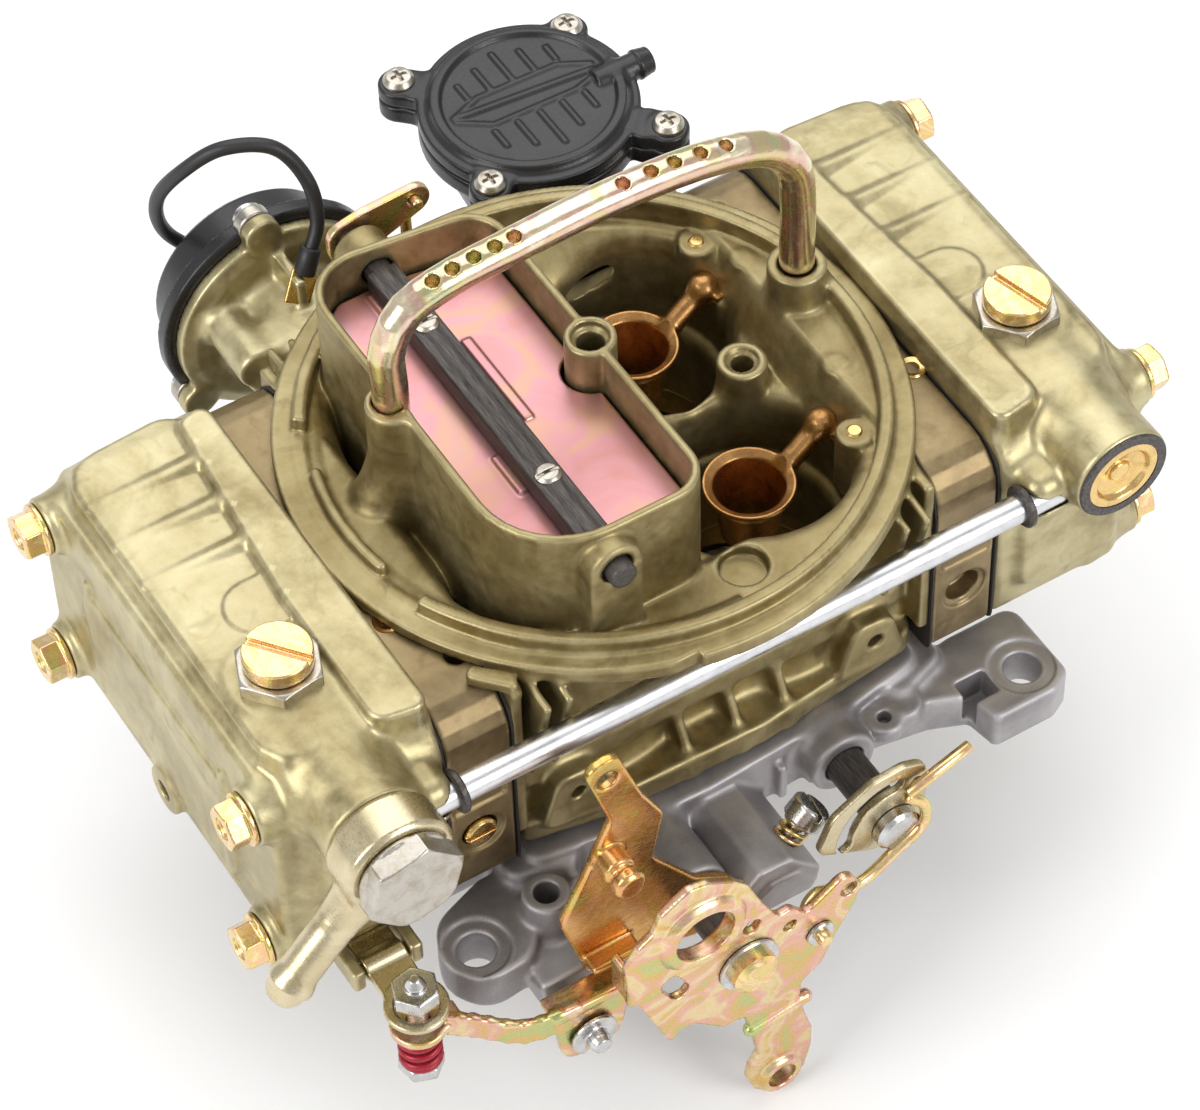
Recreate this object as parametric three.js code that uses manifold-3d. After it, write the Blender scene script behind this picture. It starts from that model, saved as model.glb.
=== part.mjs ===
// Four-barrel carburetor with a square-bore base, vacuum secondaries and an electric choke.
// Millimetres, +Z up. The origin is the centre of the base flange's bottom face: +X points to the
// secondary (rear) bowl, -Y to the throttle linkage, +Y to the choke and the vacuum diaphragm.
import * as THREE from "three";
import { mergeVertices } from "three/addons/utils/BufferGeometryUtils.js";
import Module from "manifold-3d";

const wasm = await Module();
wasm.setup();

// ---------------------------------------------------------------- driving dimensions
const GAP = 0.3; // face-to-face gap between touching pieces
const MOUNT_X = 71.45; // half the stud pattern, front to rear
const MOUNT_Y = 65.5; // half the stud pattern, side to side
const MOUNT_HOLE_R = 4.4;
const FLANGE_TOP = 11;
const THROTTLE_TOP = 16; // top face of the throttle body
const BORE_R = 21.45;
const SHAFT_X = 23.5; // throttle shafts stand at X = -SHAFT_X and +SHAFT_X
const SHAFT_Z = 9;
const SHAFT_R = 4.7;
const BOSS_R = 6.9;
const BORE_Y = 23.8;
const VENTURI_X = 25;
const VENTURI_Y = 24;
const VENTURI_R = 19;
const BODY_X = 53.2; // faces against the metering blocks
const BODY_Y = 48;
const FLOOR_Z = 64; // floor inside the air horn
const SEAT_Z = 77.2; // flat ring that the air cleaner sits on
const SEAT_R = 70;
const LIP_R = 64.5;
const LIP_Z = 81;
const TOWER = { x0: -44.8, x1: 1.3, y0: -48, y1: 50, top: 103.7, wall: 1.8 };
const STUD_R = 5.6;
const CHOKE = { x: -25.5, z: 96 };
const BLOCK_IN = 53.8; // metering block, inner and outer faces
const BLOCK_OUT = 69.8;
const BLOCK_Y = 54.5;
const BOWL_IN = 70.4;
const BOWL_OUT = 110;
const BOWL_BOTTOM = 15;
const BOWL_TOP = 79;
const SCREW_Y = 45.8;
const SCREW_Z = [22.4, 65.8];
const INLET = { x: 92, z: 68, r: 11.8 };
const VALVE = { x: 92.5, y: -27 };
const TRANSFER = { y: -61.5, z: 63, r: 3.2 };
const VENT = { y: 7.5, r: 3.97, left: -44.6, right: 57.6, top: 132 };
const LEVER_Y = -98; // middle of the throttle lever's sheet
const PUMP_PIN = { x: -57, z: -3 };
const PUMP_BOLT = { x: -90, y: -72 };
const COLD = { x: -35, z: 58, y: 82 }; // choke thermostat: axis along Y, joint face at y
const DIAPHRAGM = { x: 40, y: 93.5, top: 75 };

// ---------------------------------------------------------------- looks
const look = (color, roughness, metalness) => new THREE.MeshStandardMaterial({ color, roughness, metalness });
const LOOKS = {
  goldCast: look(0x9a8f5c, 0.45, 0.8),
  grayCast: look(0x77727a, 0.55, 0.7),
  zinc: look(0xc9a765, 0.3, 0.9),
  plateZinc: look(0xc98f86, 0.25, 0.9),
  steel: look(0xb8bcc0, 0.25, 1.0),
  darkSteel: look(0x2c2a2b, 0.6, 0.5),
  brass: look(0xb98544, 0.25, 1.0),
  black: look(0x0c0c0d, 0.35, 0.0),
  gasket: look(0x2a2724, 0.9, 0.0),
  tube: look(0xb5b7ba, 0.3, 1.0),
  spring: look(0x8a1220, 0.4, 0.2),
  float: look(0xb08a3c, 0.4, 0.8),
};

// ---------------------------------------------------------------- solids
function solid(geometry) {
  const bare = geometry.index ? geometry.toNonIndexed() : geometry;
  const points = new THREE.BufferGeometry().setAttribute("position", bare.getAttribute("position"));
  const merged = mergeVertices(points, 1e-4);
  const triVerts = new Uint32Array(merged.index.array);
  const vertProperties = merged.attributes.position.array;
  const made = new wasm.Manifold(new wasm.Mesh({ numProp: 3, vertProperties, triVerts }));
  if (made.volume() > 0) return made;
  for (let i = 0; i < triVerts.length; i += 3) {
    [triVerts[i + 1], triVerts[i + 2]] = [triVerts[i + 2], triVerts[i + 1]];
  }
  return new wasm.Manifold(new wasm.Mesh({ numProp: 3, vertProperties, triVerts }));
}

function geometryOf(manifold) {
  const mesh = manifold.getMesh();
  const position = new Float32Array(mesh.numVert * 3);
  for (let i = 0; i < mesh.numVert; i++) {
    position.set(mesh.vertProperties.subarray(i * mesh.numProp, i * mesh.numProp + 3), i * 3);
  }
  const geometry = new THREE.BufferGeometry();
  geometry.setAttribute("position", new THREE.BufferAttribute(position, 3));
  geometry.setIndex(new THREE.BufferAttribute(mesh.triVerts, 1));
  return geometry;
}

// The lower and the higher of two places, mirrored to one end of the carburetor.
const span = (sx, near, far) => [sx * near, sx * far].sort((a, b) => a - b);
const join = (first, ...rest) => rest.reduce((sum, piece) => sum.add(piece), first);
const cut = (first, ...rest) => rest.reduce((left, piece) => left.subtract(piece), first);

// The frame that turns a shape's own x, y and depth into world axes, for depth along x, y or z.
const BASIS = {
  x: [new THREE.Vector3(0, 1, 0), new THREE.Vector3(0, 0, 1), new THREE.Vector3(1, 0, 0)],
  y: [new THREE.Vector3(1, 0, 0), new THREE.Vector3(0, 0, 1), new THREE.Vector3(0, -1, 0)],
  z: [new THREE.Vector3(1, 0, 0), new THREE.Vector3(0, 1, 0), new THREE.Vector3(0, 0, 1)],
};

// A flat shape given depth between two places along an axis; the shape is drawn in the other two.
function slab(axis, shape, from, to, curveSegments = 3) {
  const depth = Math.abs(to - from);
  const geometry = new THREE.ExtrudeGeometry(shape, { depth, bevelEnabled: false, curveSegments });
  geometry.applyMatrix4(new THREE.Matrix4().makeBasis(...BASIS[axis]));
  const start = axis === "y" ? Math.max(from, to) : Math.min(from, to);
  geometry.translate(axis === "x" ? start : 0, axis === "y" ? start : 0, axis === "z" ? start : 0);
  return solid(geometry);
}

// A cylinder along an axis between two places; across holds its centre in the other two axes.
function bar(axis, across, radius, from, to, sides = 14, endRadius = radius) {
  const geometry = new THREE.CylinderGeometry(endRadius, radius, Math.abs(to - from), sides);
  const middle = (from + to) / 2;
  if (axis === "x") geometry.rotateZ(-Math.PI / 2).translate(middle, across[0], across[1]);
  if (axis === "y") geometry.translate(across[0], middle, across[1]);
  if (axis === "z") geometry.rotateX(Math.PI / 2).translate(across[0], across[1], middle);
  return solid(geometry);
}

// A cylinder between any two points.
function strut(from, to, radius, sides = 16) {
  const way = to.clone().sub(from);
  const geometry = new THREE.CylinderGeometry(radius, radius, way.length(), sides);
  const turn = new THREE.Quaternion().setFromUnitVectors(new THREE.Vector3(0, 1, 0), way.normalize());
  geometry.applyQuaternion(turn);
  const middle = from.clone().add(to).multiplyScalar(0.5);
  return solid(geometry.translate(middle.x, middle.y, middle.z));
}

function block(x0, y0, z0, x1, y1, z1) {
  const geometry = new THREE.BoxGeometry(x1 - x0, y1 - y0, z1 - z0);
  return solid(geometry.translate((x0 + x1) / 2, (y0 + y1) / 2, (z0 + z1) / 2));
}

// A closed outline through corner points [x, y, radius]; each corner is rounded by its radius.
function outline(corners) {
  const shape = new THREE.Shape();
  const at = corners.map(([x, y]) => new THREE.Vector2(x, y));
  corners.forEach(([, , radius = 0], i) => {
    const here = at[i];
    const before = at[(i + at.length - 1) % at.length].clone().sub(here);
    const after = at[(i + 1) % at.length].clone().sub(here);
    const back = Math.min(radius, before.length() / 2.01);
    const ahead = Math.min(radius, after.length() / 2.01);
    const start = here.clone().add(before.setLength(back));
    const end = here.clone().add(after.setLength(ahead));
    if (i === 0) shape.moveTo(start.x, start.y);
    else shape.lineTo(start.x, start.y);
    if (radius > 0) shape.quadraticCurveTo(here.x, here.y, end.x, end.y);
  });
  shape.closePath();
  return shape;
}

const rectangle = (x0, y0, x1, y1, r = 0) => outline([[x0, y0, r], [x1, y0, r], [x1, y1, r], [x0, y1, r]]);

// A round bar or a flat strip swept along a smooth curve.
function sweep(points, section, steps) {
  const path = new THREE.CatmullRomCurve3(points.map((p) => new THREE.Vector3(...p)), false, "centripetal");
  return solid(new THREE.ExtrudeGeometry(section, { steps, extrudePath: path, curveSegments: 3 }));
}

function round(radius, sides = 10) {
  const shape = new THREE.Shape();
  for (let i = 0; i < sides; i++) {
    const angle = (2 * Math.PI * i) / sides;
    const point = [radius * Math.cos(angle), radius * Math.sin(angle)];
    if (i === 0) shape.moveTo(...point);
    else shape.lineTo(...point);
  }
  shape.closePath();
  return shape;
}

const hex = (axis, across, flats, from, to) => bar(axis, across, flats / Math.sqrt(3), from, to, 6);

// A body turned about the Z axis from a closed [radius, z] profile.
function turned(profile, sides = 40) {
  const loop = [...profile, profile[0]].map(([r, z]) => new THREE.Vector2(r, z));
  return solid(new THREE.LatheGeometry(loop, sides).rotateX(Math.PI / 2));
}

const carburetor = new THREE.Group();

function add(name, shape, finish) {
  const mesh = new THREE.Mesh(geometryOf(shape), LOOKS[finish]);
  mesh.name = name;
  carburetor.add(mesh);
}

const ENDS = [["primary", -1], ["secondary", 1]];

// ---------------------------------------------------------------- throttle body and base gasket
function throttleBody() {
  let body = slab("z", rectangle(-51, -58, 51, 56, 5), 0, THROTTLE_TOP);
  for (const sx of [-1, 1]) {
    for (const sy of [-1, 1]) {
      const ear = rectangle(sx > 0 ? 44 : -80, sy > 0 ? 46 : -74, sx > 0 ? 80 : -44, sy > 0 ? 74 : -46, 9);
      body = body.add(slab("z", ear, 0, FLANGE_TOP));
    }
    body = body.add(bar("y", [sx * SHAFT_X, SHAFT_Z], BOSS_R, 66, -58));
  }
  const primaryBoss = bar("y", [-SHAFT_X, SHAFT_Z], BOSS_R + 1, -57, -78);
  const secondaryBoss = bar("y", [SHAFT_X, SHAFT_Z], BOSS_R + 1, -57, -64);
  const idleBlock = block(-14, -84, -1, 3, -57, 7);
  const pumpLug = block(-61, -80, -6.5, -53, -57, 6);
  body = join(body, primaryBoss, secondaryBoss, idleBlock, pumpLug);
  for (const sx of [-1, 1]) {
    body = body.subtract(bar("y", [sx * SHAFT_X, SHAFT_Z], SHAFT_R + 0.15, 80, -90));
    for (const sy of [-1, 1]) {
      body = body.subtract(bar("z", [sx * SHAFT_X, sy * BORE_Y], BORE_R, -1, 20, 20));
      body = body.subtract(bar("z", [sx * MOUNT_X, sy * MOUNT_Y], MOUNT_HOLE_R, -1, 20, 10));
    }
  }
  body = body.subtract(bar("y", [PUMP_PIN.x, PUMP_PIN.z], 2.9, -64, -90, 16));
  // A clear way for the idle screw through its block.
  return body.subtract(idleBar(2.8, -30, 30));
}

// The idle screw slopes down at 45 degrees, towards the primary side; distances run up from its block.
const IDLE = new THREE.Vector3(-5, -76, 3);
const IDLE_WAY = new THREE.Vector3(1, 0, 1).normalize();
function idleBar(radius, from, to, sides = 16) {
  const end = (distance) => IDLE.clone().addScaledVector(IDLE_WAY, distance);
  return strut(end(from), end(to), radius, sides);
}

function baseGasket() {
  let sheet = slab("z", rectangle(-50, -50, 50, 50, 5), THROTTLE_TOP + GAP, THROTTLE_TOP + GAP + 1);
  for (const sx of [-1, 1]) {
    for (const sy of [-1, 1]) {
      sheet = sheet.subtract(bar("z", [sx * SHAFT_X, sy * BORE_Y], BORE_R, 10, 22, 16));
    }
  }
  return sheet;
}

// ---------------------------------------------------------------- main body with the air horn
// The tower's plan: its four corners have their own radii, and its far wall slopes a little.
const towerOutline = (inset) =>
  outline([
    [TOWER.x0 + inset, TOWER.y0 + inset, 22 - inset / 2],
    [TOWER.x1 - inset, TOWER.y0 + inset, 9 - inset / 2],
    [TOWER.x1 - inset, TOWER.y1 - 4.5 - inset, 10 - inset / 2],
    [TOWER.x0 + inset, TOWER.y1 + 1 - inset, 13 - inset / 2],
  ]);

function mainBody() {
  const bottom = THROTTLE_TOP + 2 * GAP + 1;
  const core = slab("z", rectangle(-BODY_X, -BODY_Y, BODY_X, BODY_Y, 3), bottom, 70);
  const foot = slab("z", rectangle(-50, -52, 50, 52, 4), bottom, bottom + 6);
  const horn = turned([[0, 58], [50, 58], [SEAT_R - 5, 72.5], [SEAT_R, 73], [SEAT_R, SEAT_Z], [0, SEAT_Z]], 30);
  const lip = bar("z", [0, 0], LIP_R, 75, LIP_Z, 30);
  // Inside, the horn is deep between the metering blocks and shallow above them.
  const deep = turned([[0, FLOOR_Z], [52, FLOOR_Z], [61, 73], [61.5, 90], [0, 90]], 30);
  const bowl = deep.intersect(block(-52.2, -80, 0, 52.2, 80, 99)).add(bar("z", [0, 0], 61.5, 76, 90, 30));
  // The horn overhangs the metering blocks, which sit below its flange.
  const blockRoom = [-1, 1].map((sx) => {
    const [x0, x1] = span(sx, BODY_X, 90);
    return block(x0, -80, 10, x1, 80, 74.7);
  });
  let body = cut(join(core, foot, horn, lip), bowl, ...blockRoom);
  const tower = slab("z", towerOutline(0), FLOOR_Z - 4, TOWER.top);
  const throat = slab("z", towerOutline(TOWER.wall), FLOOR_Z, TOWER.top + 1);
  const studBoss = bar("z", [0, 0], STUD_R, FLOOR_Z - 2, TOWER.top);
  const frontBoss = bar("y", [CHOKE.x, CHOKE.z - 1], 6, -51.5, -47);
  const rearBoss = bar("y", [CHOKE.x, CHOKE.z - 1], 6, 48.5, 56);
  const leftSocket = bar("z", [VENT.left, VENT.y], 6.1, FLOOR_Z - 2, 103.5);
  body = body.add(join(tower, leftSocket).subtract(throat));
  body = join(body, frontBoss, rearBoss, studBoss);
  body = body.add(bar("z", [38.5, 0], 5.6, FLOOR_Z - 2, 72.5));
  body = body.add(bar("z", [VENT.right, VENT.y], 6.6, 74.7, 86));
  for (const sx of [-1, 1]) {
    for (const sy of [-1, 1]) {
      body = body.subtract(bar("z", [sx * VENTURI_X, sy * VENTURI_Y], VENTURI_R, 10, 70, 16));
      body = body.subtract(bar("z", [sx * SHAFT_X, sy * BORE_Y], BORE_R, 10, 28, 20));
      body = body.subtract(bar("z", [sx * VENTURI_X, sy * VENTURI_Y], 21.5, 48, 70, 16, 22.6));
    }
  }
  const studHole = bar("z", [0, 0], 3.2, 84, 110, 12);
  const shaftWay = bar("y", [CHOKE.x, CHOKE.z], 3.5, -55, 60, 12);
  const ventLeft = bar("z", [VENT.left, VENT.y], VENT.r + GAP, 90, 110, 12);
  const ventRight = bar("z", [VENT.right, VENT.y], VENT.r + GAP, 75, 110, 12);
  // The choke rod and its lever work in a slot through the flange.
  const rodSlot = block(CHOKE.x + 1, 56.8, 62, CHOKE.x + 18.5, 64.5, 90);
  body = cut(body, studHole, shaftWay, ventLeft, ventRight, rodSlot);
  // Pads on the choke and diaphragm side.
  const chokePad = block(-50, 46, 44, -20, 54, 71);
  const diaphragmPad = block(24, 46, 30, 50, 60, 48);
  return join(body, chokePad, diaphragmPad);
}

// ---------------------------------------------------------------- boosters and vent tube
function booster(sx, sy) {
  const x = sx * VENTURI_X;
  const y = sy * VENTURI_Y;
  const cup = bar("z", [x, y], 6.2, 47, 63, 18, 8.9);
  const arm = block(x + 4, y - 3, 54, x + 17, y + 3, 60);
  const saddle = block(x + 14, y - 4.5, 52, x + 18, y + 4.5, 66);
  return join(cup, arm, saddle).subtract(bar("z", [x, y], 4.6, 40, 70, 16, 7.6));
}

const VENT_ROUTE = [
  [VENT.left, VENT.y, 92],
  [VENT.left, VENT.y, 108],
  [VENT.left, VENT.y, 119],
  [VENT.left + 4.5, VENT.y, 127.5],
  [VENT.left + 13, VENT.y, VENT.top - 1],
  [-14, VENT.y, VENT.top + 0.6],
  [10, VENT.y, VENT.top + 1.6],
  [34, VENT.y, VENT.top - 0.4],
  [49, VENT.y, 126.5],
  [56, VENT.y, 118],
  [VENT.right, VENT.y, 106],
  [VENT.right, VENT.y, 92],
  [VENT.right, VENT.y, 77],
];

// ---------------------------------------------------------------- choke
function chokePlate() {
  const clear = TOWER.wall + 1;
  const sheet = slab("z", towerOutline(clear), CHOKE.z - 4.6, CHOKE.z - 3.4);
  const plate = sheet.intersect(block(TOWER.x0, TOWER.y0 + 3.9, 80, TOWER.x1, TOWER.y1 - 4.2, 110));
  const tubeNotch = block(-60, VENT.y - 5.2, 80, VENT.left + VENT.r + 1.2, VENT.y + 5.2, 110);
  return cut(plate, bar("z", [0, 0], STUD_R + 1, 80, 110), tubeNotch);
}

function chokeShaft() {
  const rod = bar("y", [CHOKE.x, CHOKE.z], 3.1, -55, 61.5, 12);
  const blade = block(CHOKE.x - 3.6, -43.5, CHOKE.z - 3, CHOKE.x + 3.6, 45.5, CHOKE.z + 2.4);
  return rod.add(blade);
}

function chokeLever() {
  const x = CHOKE.x;
  const z = CHOKE.z;
  const arm = outline([[x - 6, z - 5, 4], [x + 2, z - 6, 4], [x + 20, z + 1, 4], [x + 19, z + 8, 4], [x + 3, z + 7, 4], [x - 6, z + 5, 4]]);
  return cut(slab("y", arm, 57.6, 59.6), bar("y", [x, z], 3.3, 50, 70, 16), bar("y", [x + 15.5, z + 4], 1.9, 50, 70, 12));
}

const CHOKE_EYE = { x: CHOKE.x + 15.5, z: CHOKE.z + 4 };
const CHOKE_ROD_ROUTE = [
  [CHOKE_EYE.x, 55.5, CHOKE_EYE.z],
  [CHOKE_EYE.x, 59.6, CHOKE_EYE.z],
  [CHOKE_EYE.x, 61.8, CHOKE_EYE.z - 1.6],
  [CHOKE_EYE.x, 62.3, CHOKE_EYE.z - 7],
  [CHOKE_EYE.x, 62.3, 80],
  [CHOKE_EYE.x, 62.3, 66],
];

function chokeHousing() {
  const face = bar("y", [COLD.x, COLD.z], 25.5, COLD.y - GAP - 4, COLD.y - GAP, 26);
  const drum = bar("y", [COLD.x, COLD.z], 14, 58, COLD.y - 3);
  const arm = block(-50, 54 + GAP, 44, -22, 62, 66);
  const piston = bar("y", [-50, 66], 5, 60, COLD.y - 3, 14);
  const link = block(-52, 60, 58, -40, 70, 70);
  return join(face, drum, arm, piston, link);
}

function chokeCap() {
  const rim = bar("y", [COLD.x, COLD.z], 28, COLD.y, COLD.y + 4, 28);
  const cup = bar("y", [COLD.x, COLD.z], 24.5, COLD.y + 3, COLD.y + 15, 28, 22.5);
  return rim.add(cup);
}

// A short jumper from the back of the cap over its rim to the terminal on the housing.
const WIRE_ROUTE = [
  [-42, 99.2, 63],
  [-50, 103, 72],
  [-53, 99, 88],
  [-49, 92, 101],
  [-41, 87, 108],
  [-31, 82, 107],
  [-26, 77, 98],
  [-26.5, 73, 89],
  [-31, 70, 82.5],
];

// ---------------------------------------------------------------- vacuum diaphragm
function diaphragmPart(z0, z1, radius, earRadius) {
  let body = bar("z", [DIAPHRAGM.x, DIAPHRAGM.y], radius, z0, z1, 24);
  for (const [dx, dy] of DIAPHRAGM_EARS) {
    for (const reach of [0.8, 1]) {
      const centre = [DIAPHRAGM.x + dx * reach, DIAPHRAGM.y + dy * reach];
      body = body.add(bar("z", centre, earRadius, z0, z1, 10));
    }
  }
  return body;
}

const DIAPHRAGM_EARS = [[20, 16], [23, -24], [-22, 22], [-21, -18]];

function diaphragmHousing() {
  const { x, y, top } = DIAPHRAGM;
  const rim = diaphragmPart(top - 11, top - 6.2, 26, 5);
  const cup = bar("z", [x, y], 15, top - 34, top - 9, 24, 23);
  const neck = bar("z", [x, y], 8, top - 42, top - 33, 16);
  const bracket = block(26, 60 + GAP, 34, 50, y, 44);
  const bore = bar("z", [x, y], 21, top - 14, top + 1, 24);
  const way = bar("z", [x, y], 4, 0, top, 12);
  return cut(join(rim, cup, neck, bracket), bore, way);
}

function diaphragmCover() {
  const { x, y, top } = DIAPHRAGM;
  const rim = diaphragmPart(top - 5.9, top - 2, 26, 5);
  const crown = bar("z", [x, y], 23.5, top - 4, top, 24, 21);
  const port = bar("x", [y - 3, top - 2.4], 3.4, x + 18, x + 31, 12);
  return join(rim, crown, port);
}

// ---------------------------------------------------------------- throttle shafts, plates and levers
const secondaryArm = () => {
  const x = SHAFT_X;
  const z = SHAFT_Z;
  const arm = outline([[x - 6, z - 6, 5], [x + 2, z - 7, 5], [x + 21, z - 17, 5], [x + 22, z - 9, 4], [x + 4, z + 7, 5], [x - 6, z + 6, 5]]);
  return slab("y", arm, 88.6, 90.6);
};

// Each shaft is slotted across both bores, and its plates lie in the slots.
const PLATE_HALF = 0.6;
const shaftSlots = (sx) =>
  [-1, 1].map((sy) => {
    const [y0, y1] = span(sy, 2, 45.7);
    const half = PLATE_HALF + GAP / 2;
    return block(sx * SHAFT_X - 6, y0, SHAFT_Z - half, sx * SHAFT_X + 6, y1, SHAFT_Z + half);
  });

function primaryShaft() {
  return cut(bar("y", [-SHAFT_X, SHAFT_Z], SHAFT_R, -102, 68), ...shaftSlots(-1));
}

function secondaryShaft() {
  return cut(bar("y", [SHAFT_X, SHAFT_Z], SHAFT_R, -85.8, 90.6), ...shaftSlots(1)).add(secondaryArm());
}

function throttlePlate(sx, sy) {
  return bar("z", [sx * SHAFT_X, sy * BORE_Y], BORE_R - 0.4, SHAFT_Z - PLATE_HALF, SHAFT_Z + PLATE_HALF, 24);
}

const at = (x, z, r = 0) => [x - SHAFT_X, z + SHAFT_Z, r]; // places measured from the primary shaft

const THROTTLE_OUTLINE = [
  at(-22, 34, 5), at(-13, 39, 6), at(0, 33, 6), at(5, 16, 3), at(8, 10.5, 2), at(11, 12, 1), at(15, 6.5, 1),
  at(25, 14, 3), at(30, 9, 3), at(23, -6.5, 3), at(14, -18, 4), at(13.5, -24, 2), at(18, -40, 5), at(16, -56, 5),
  at(4, -58, 5), at(-0.5, -47, 5), at(3.5, -38, 3), at(0, -21, 2), at(-7, -21, 3), at(-14, -12.5, 3),
  at(-20, -16, 2), at(-31, 15, 6),
];

function throttleLever() {
  let plate = slab("y", outline(THROTTLE_OUTLINE), LEVER_Y - 1.1, LEVER_Y + 1.1, 3);
  const collar = bar("y", [-SHAFT_X - 11.5, SHAFT_Z + 20.7], 10, LEVER_Y - 2.4, LEVER_Y + 1.1);
  const lowCollar = bar("y", [-SHAFT_X + 8.6, SHAFT_Z - 49.5], 5.4, LEVER_Y - 2.4, LEVER_Y + 1.1, 14);
  const flange = slab("z", rectangle(-SHAFT_X - 29.5, LEVER_Y, -SHAFT_X - 27.5, LEVER_Y + 7), SHAFT_Z + 6, SHAFT_Z + 16);
  plate = join(plate, collar, lowCollar, flange);
  const holes = [[-11.5, 20.7, 7.2], [8.6, -49.5, 3.5], [-18.5, 4.5, 3.6], [1, 12.5, 2.2], [26, 7.5, 2.2], [10.5, 5.5, 1.7]];
  for (const [x, z, r] of holes) {
    plate = plate.subtract(bar("y", [x - SHAFT_X, z + SHAFT_Z], r, LEVER_Y - 5, LEVER_Y + 5, r > 5 ? 18 : 10));
  }
  return plate.subtract(bar("y", [-SHAFT_X, SHAFT_Z], SHAFT_R + GAP, LEVER_Y - 5, LEVER_Y + 5, 18));
}

const LINK_PIN = { x: -SHAFT_X + 18.4, z: SHAFT_Z - 2.5 };
const LINK_ROUTE = [
  [LINK_PIN.x, LEVER_Y + 1.6, LINK_PIN.z],
  [LINK_PIN.x + 0.4, LEVER_Y + 5, LINK_PIN.z + 0.2],
  [LINK_PIN.x + 4, LEVER_Y + 7, LINK_PIN.z + 1],
  [12, LEVER_Y + 8.8, 0],
  [22, LEVER_Y + 9.5, 4],
  [29, LEVER_Y + 9.5, 9],
  [29, LEVER_Y + 9.5, 16],
  [25, LEVER_Y + 10.6, 20.5],
];

const fromSecondary = (x, z, r = 0) => [x + SHAFT_X, z + SHAFT_Z, r];
const QUADRANT_Y = -84;

function secondaryLever() {
  const edge = [
    fromSecondary(-21, 1, 3), fromSecondary(-17, 13, 7), fromSecondary(-5, 19.5, 6), fromSecondary(8, 20, 5),
    fromSecondary(11, 10, 5), fromSecondary(7, -3, 5), fromSecondary(3, -9, 4), fromSecondary(-6, -7, 5),
  ];
  const sheet = slab("y", outline(edge), QUADRANT_Y - 1, QUADRANT_Y + 1);
  const slot = slab("y", arcSlot(13, 2.1, 88, 178), QUADRANT_Y - 4, QUADRANT_Y + 4);
  const hub = bar("y", [SHAFT_X, SHAFT_Z], SHAFT_R + GAP, QUADRANT_Y - 4, QUADRANT_Y + 4);
  return cut(sheet, slot, hub);
}

// A curved slot around the secondary shaft, between two angles in degrees.
function arcSlot(radius, half, from, to) {
  const shape = new THREE.Shape();
  const steps = 6;
  const points = [];
  for (let i = 0; i <= 2 * steps + 1; i++) {
    const outer = i <= steps;
    const share = outer ? i / steps : (2 * steps + 1 - i) / steps;
    const angle = THREE.MathUtils.degToRad(from + (to - from) * share);
    const r = outer ? radius + half : radius - half;
    points.push(new THREE.Vector2(SHAFT_X + r * Math.cos(angle), SHAFT_Z + r * Math.sin(angle)));
  }
  return shape.setFromPoints(points);
}

function kickdownLever() {
  const edge = [
    [-52, 76, 3], [-44, 78, 3], [-38, 60, 4], [-33, 50, 4], [-36, 36, 4], [-25, 20, 6], [-15, 13, 5], [-15, 3, 5],
    [-25, -1, 4], [-40, 4, 4], [-53, 6, 3], [-59, 28, 5], [-53, 40, 4], [-46, 56, 4],
  ];
  const sheet = slab("y", outline(edge), -81.2, -79, 4);
  const pin = bar("y", [-47, 45], 3.6, -80, -91, 12);
  const lug = block(-54, -86, 11.5, -42, -79.5, 13.5);
  const body = join(sheet, pin, lug);
  return cut(body, bar("y", [-SHAFT_X, SHAFT_Z], SHAFT_R + GAP, -76, -84, 20), bar("y", [-46.5, 71], 2.6, -76, -84, 14));
}

// ---------------------------------------------------------------- accelerator pump
function pumpArm() {
  const { x, z } = PUMP_PIN;
  const face = outline([[x - 7, z - 7, 5], [x + 7, z - 7, 5], [x + 11, z + 11, 2], [x - 9, z + 11, 2]]);
  const sheet = slab("y", face, -89, -87);
  const shelf = block(x - 9, -89, z + 9, x + 11, -82.5, z + 11);
  const strip = sweep([[x - 3, -88, z + 8], [-72, -86, z + 8], [-80, -79, z + 8], [-84.5, -75.5, z + 8]], rectangle(-3.5, -0.9, 3.5, 0.9), 8);
  const tab = bar("z", [PUMP_BOLT.x, PUMP_BOLT.y], 6.4, 4, 6, 14).add(block(-89, -77, 4, -81, -71, 6));
  const body = join(sheet, shelf, strip, tab);
  return cut(body, bar("y", [x, z], 3.2, -80, -95, 12), bar("z", [PUMP_BOLT.x, PUMP_BOLT.y], 2.7, 0, 10, 10));
}

function pumpPin() {
  const { x, z } = PUMP_PIN;
  const stud = bar("y", [x, z], 2.6, -66, -94, 12);
  const clip = bar("y", [x, z], 5.6, -90.6, -89.6, 14);
  return stud.add(clip);
}

function pumpBolt() {
  const c = [PUMP_BOLT.x, PUMP_BOLT.y];
  const stem = bar("z", c, 2.3, -9.5, 20, 14);
  const dome = bar("z", c, 2.3, 19.8, 22, 14, 1);
  const nut = hex("z", c, 9.5, 14.7, 18.9);
  const spring = bar("z", c, 5, -7.6, 3.6, 20);
  const head = hex("z", c, 9, -11, -7.4);
  return join(stem, dome, nut, spring, head);
}

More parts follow.
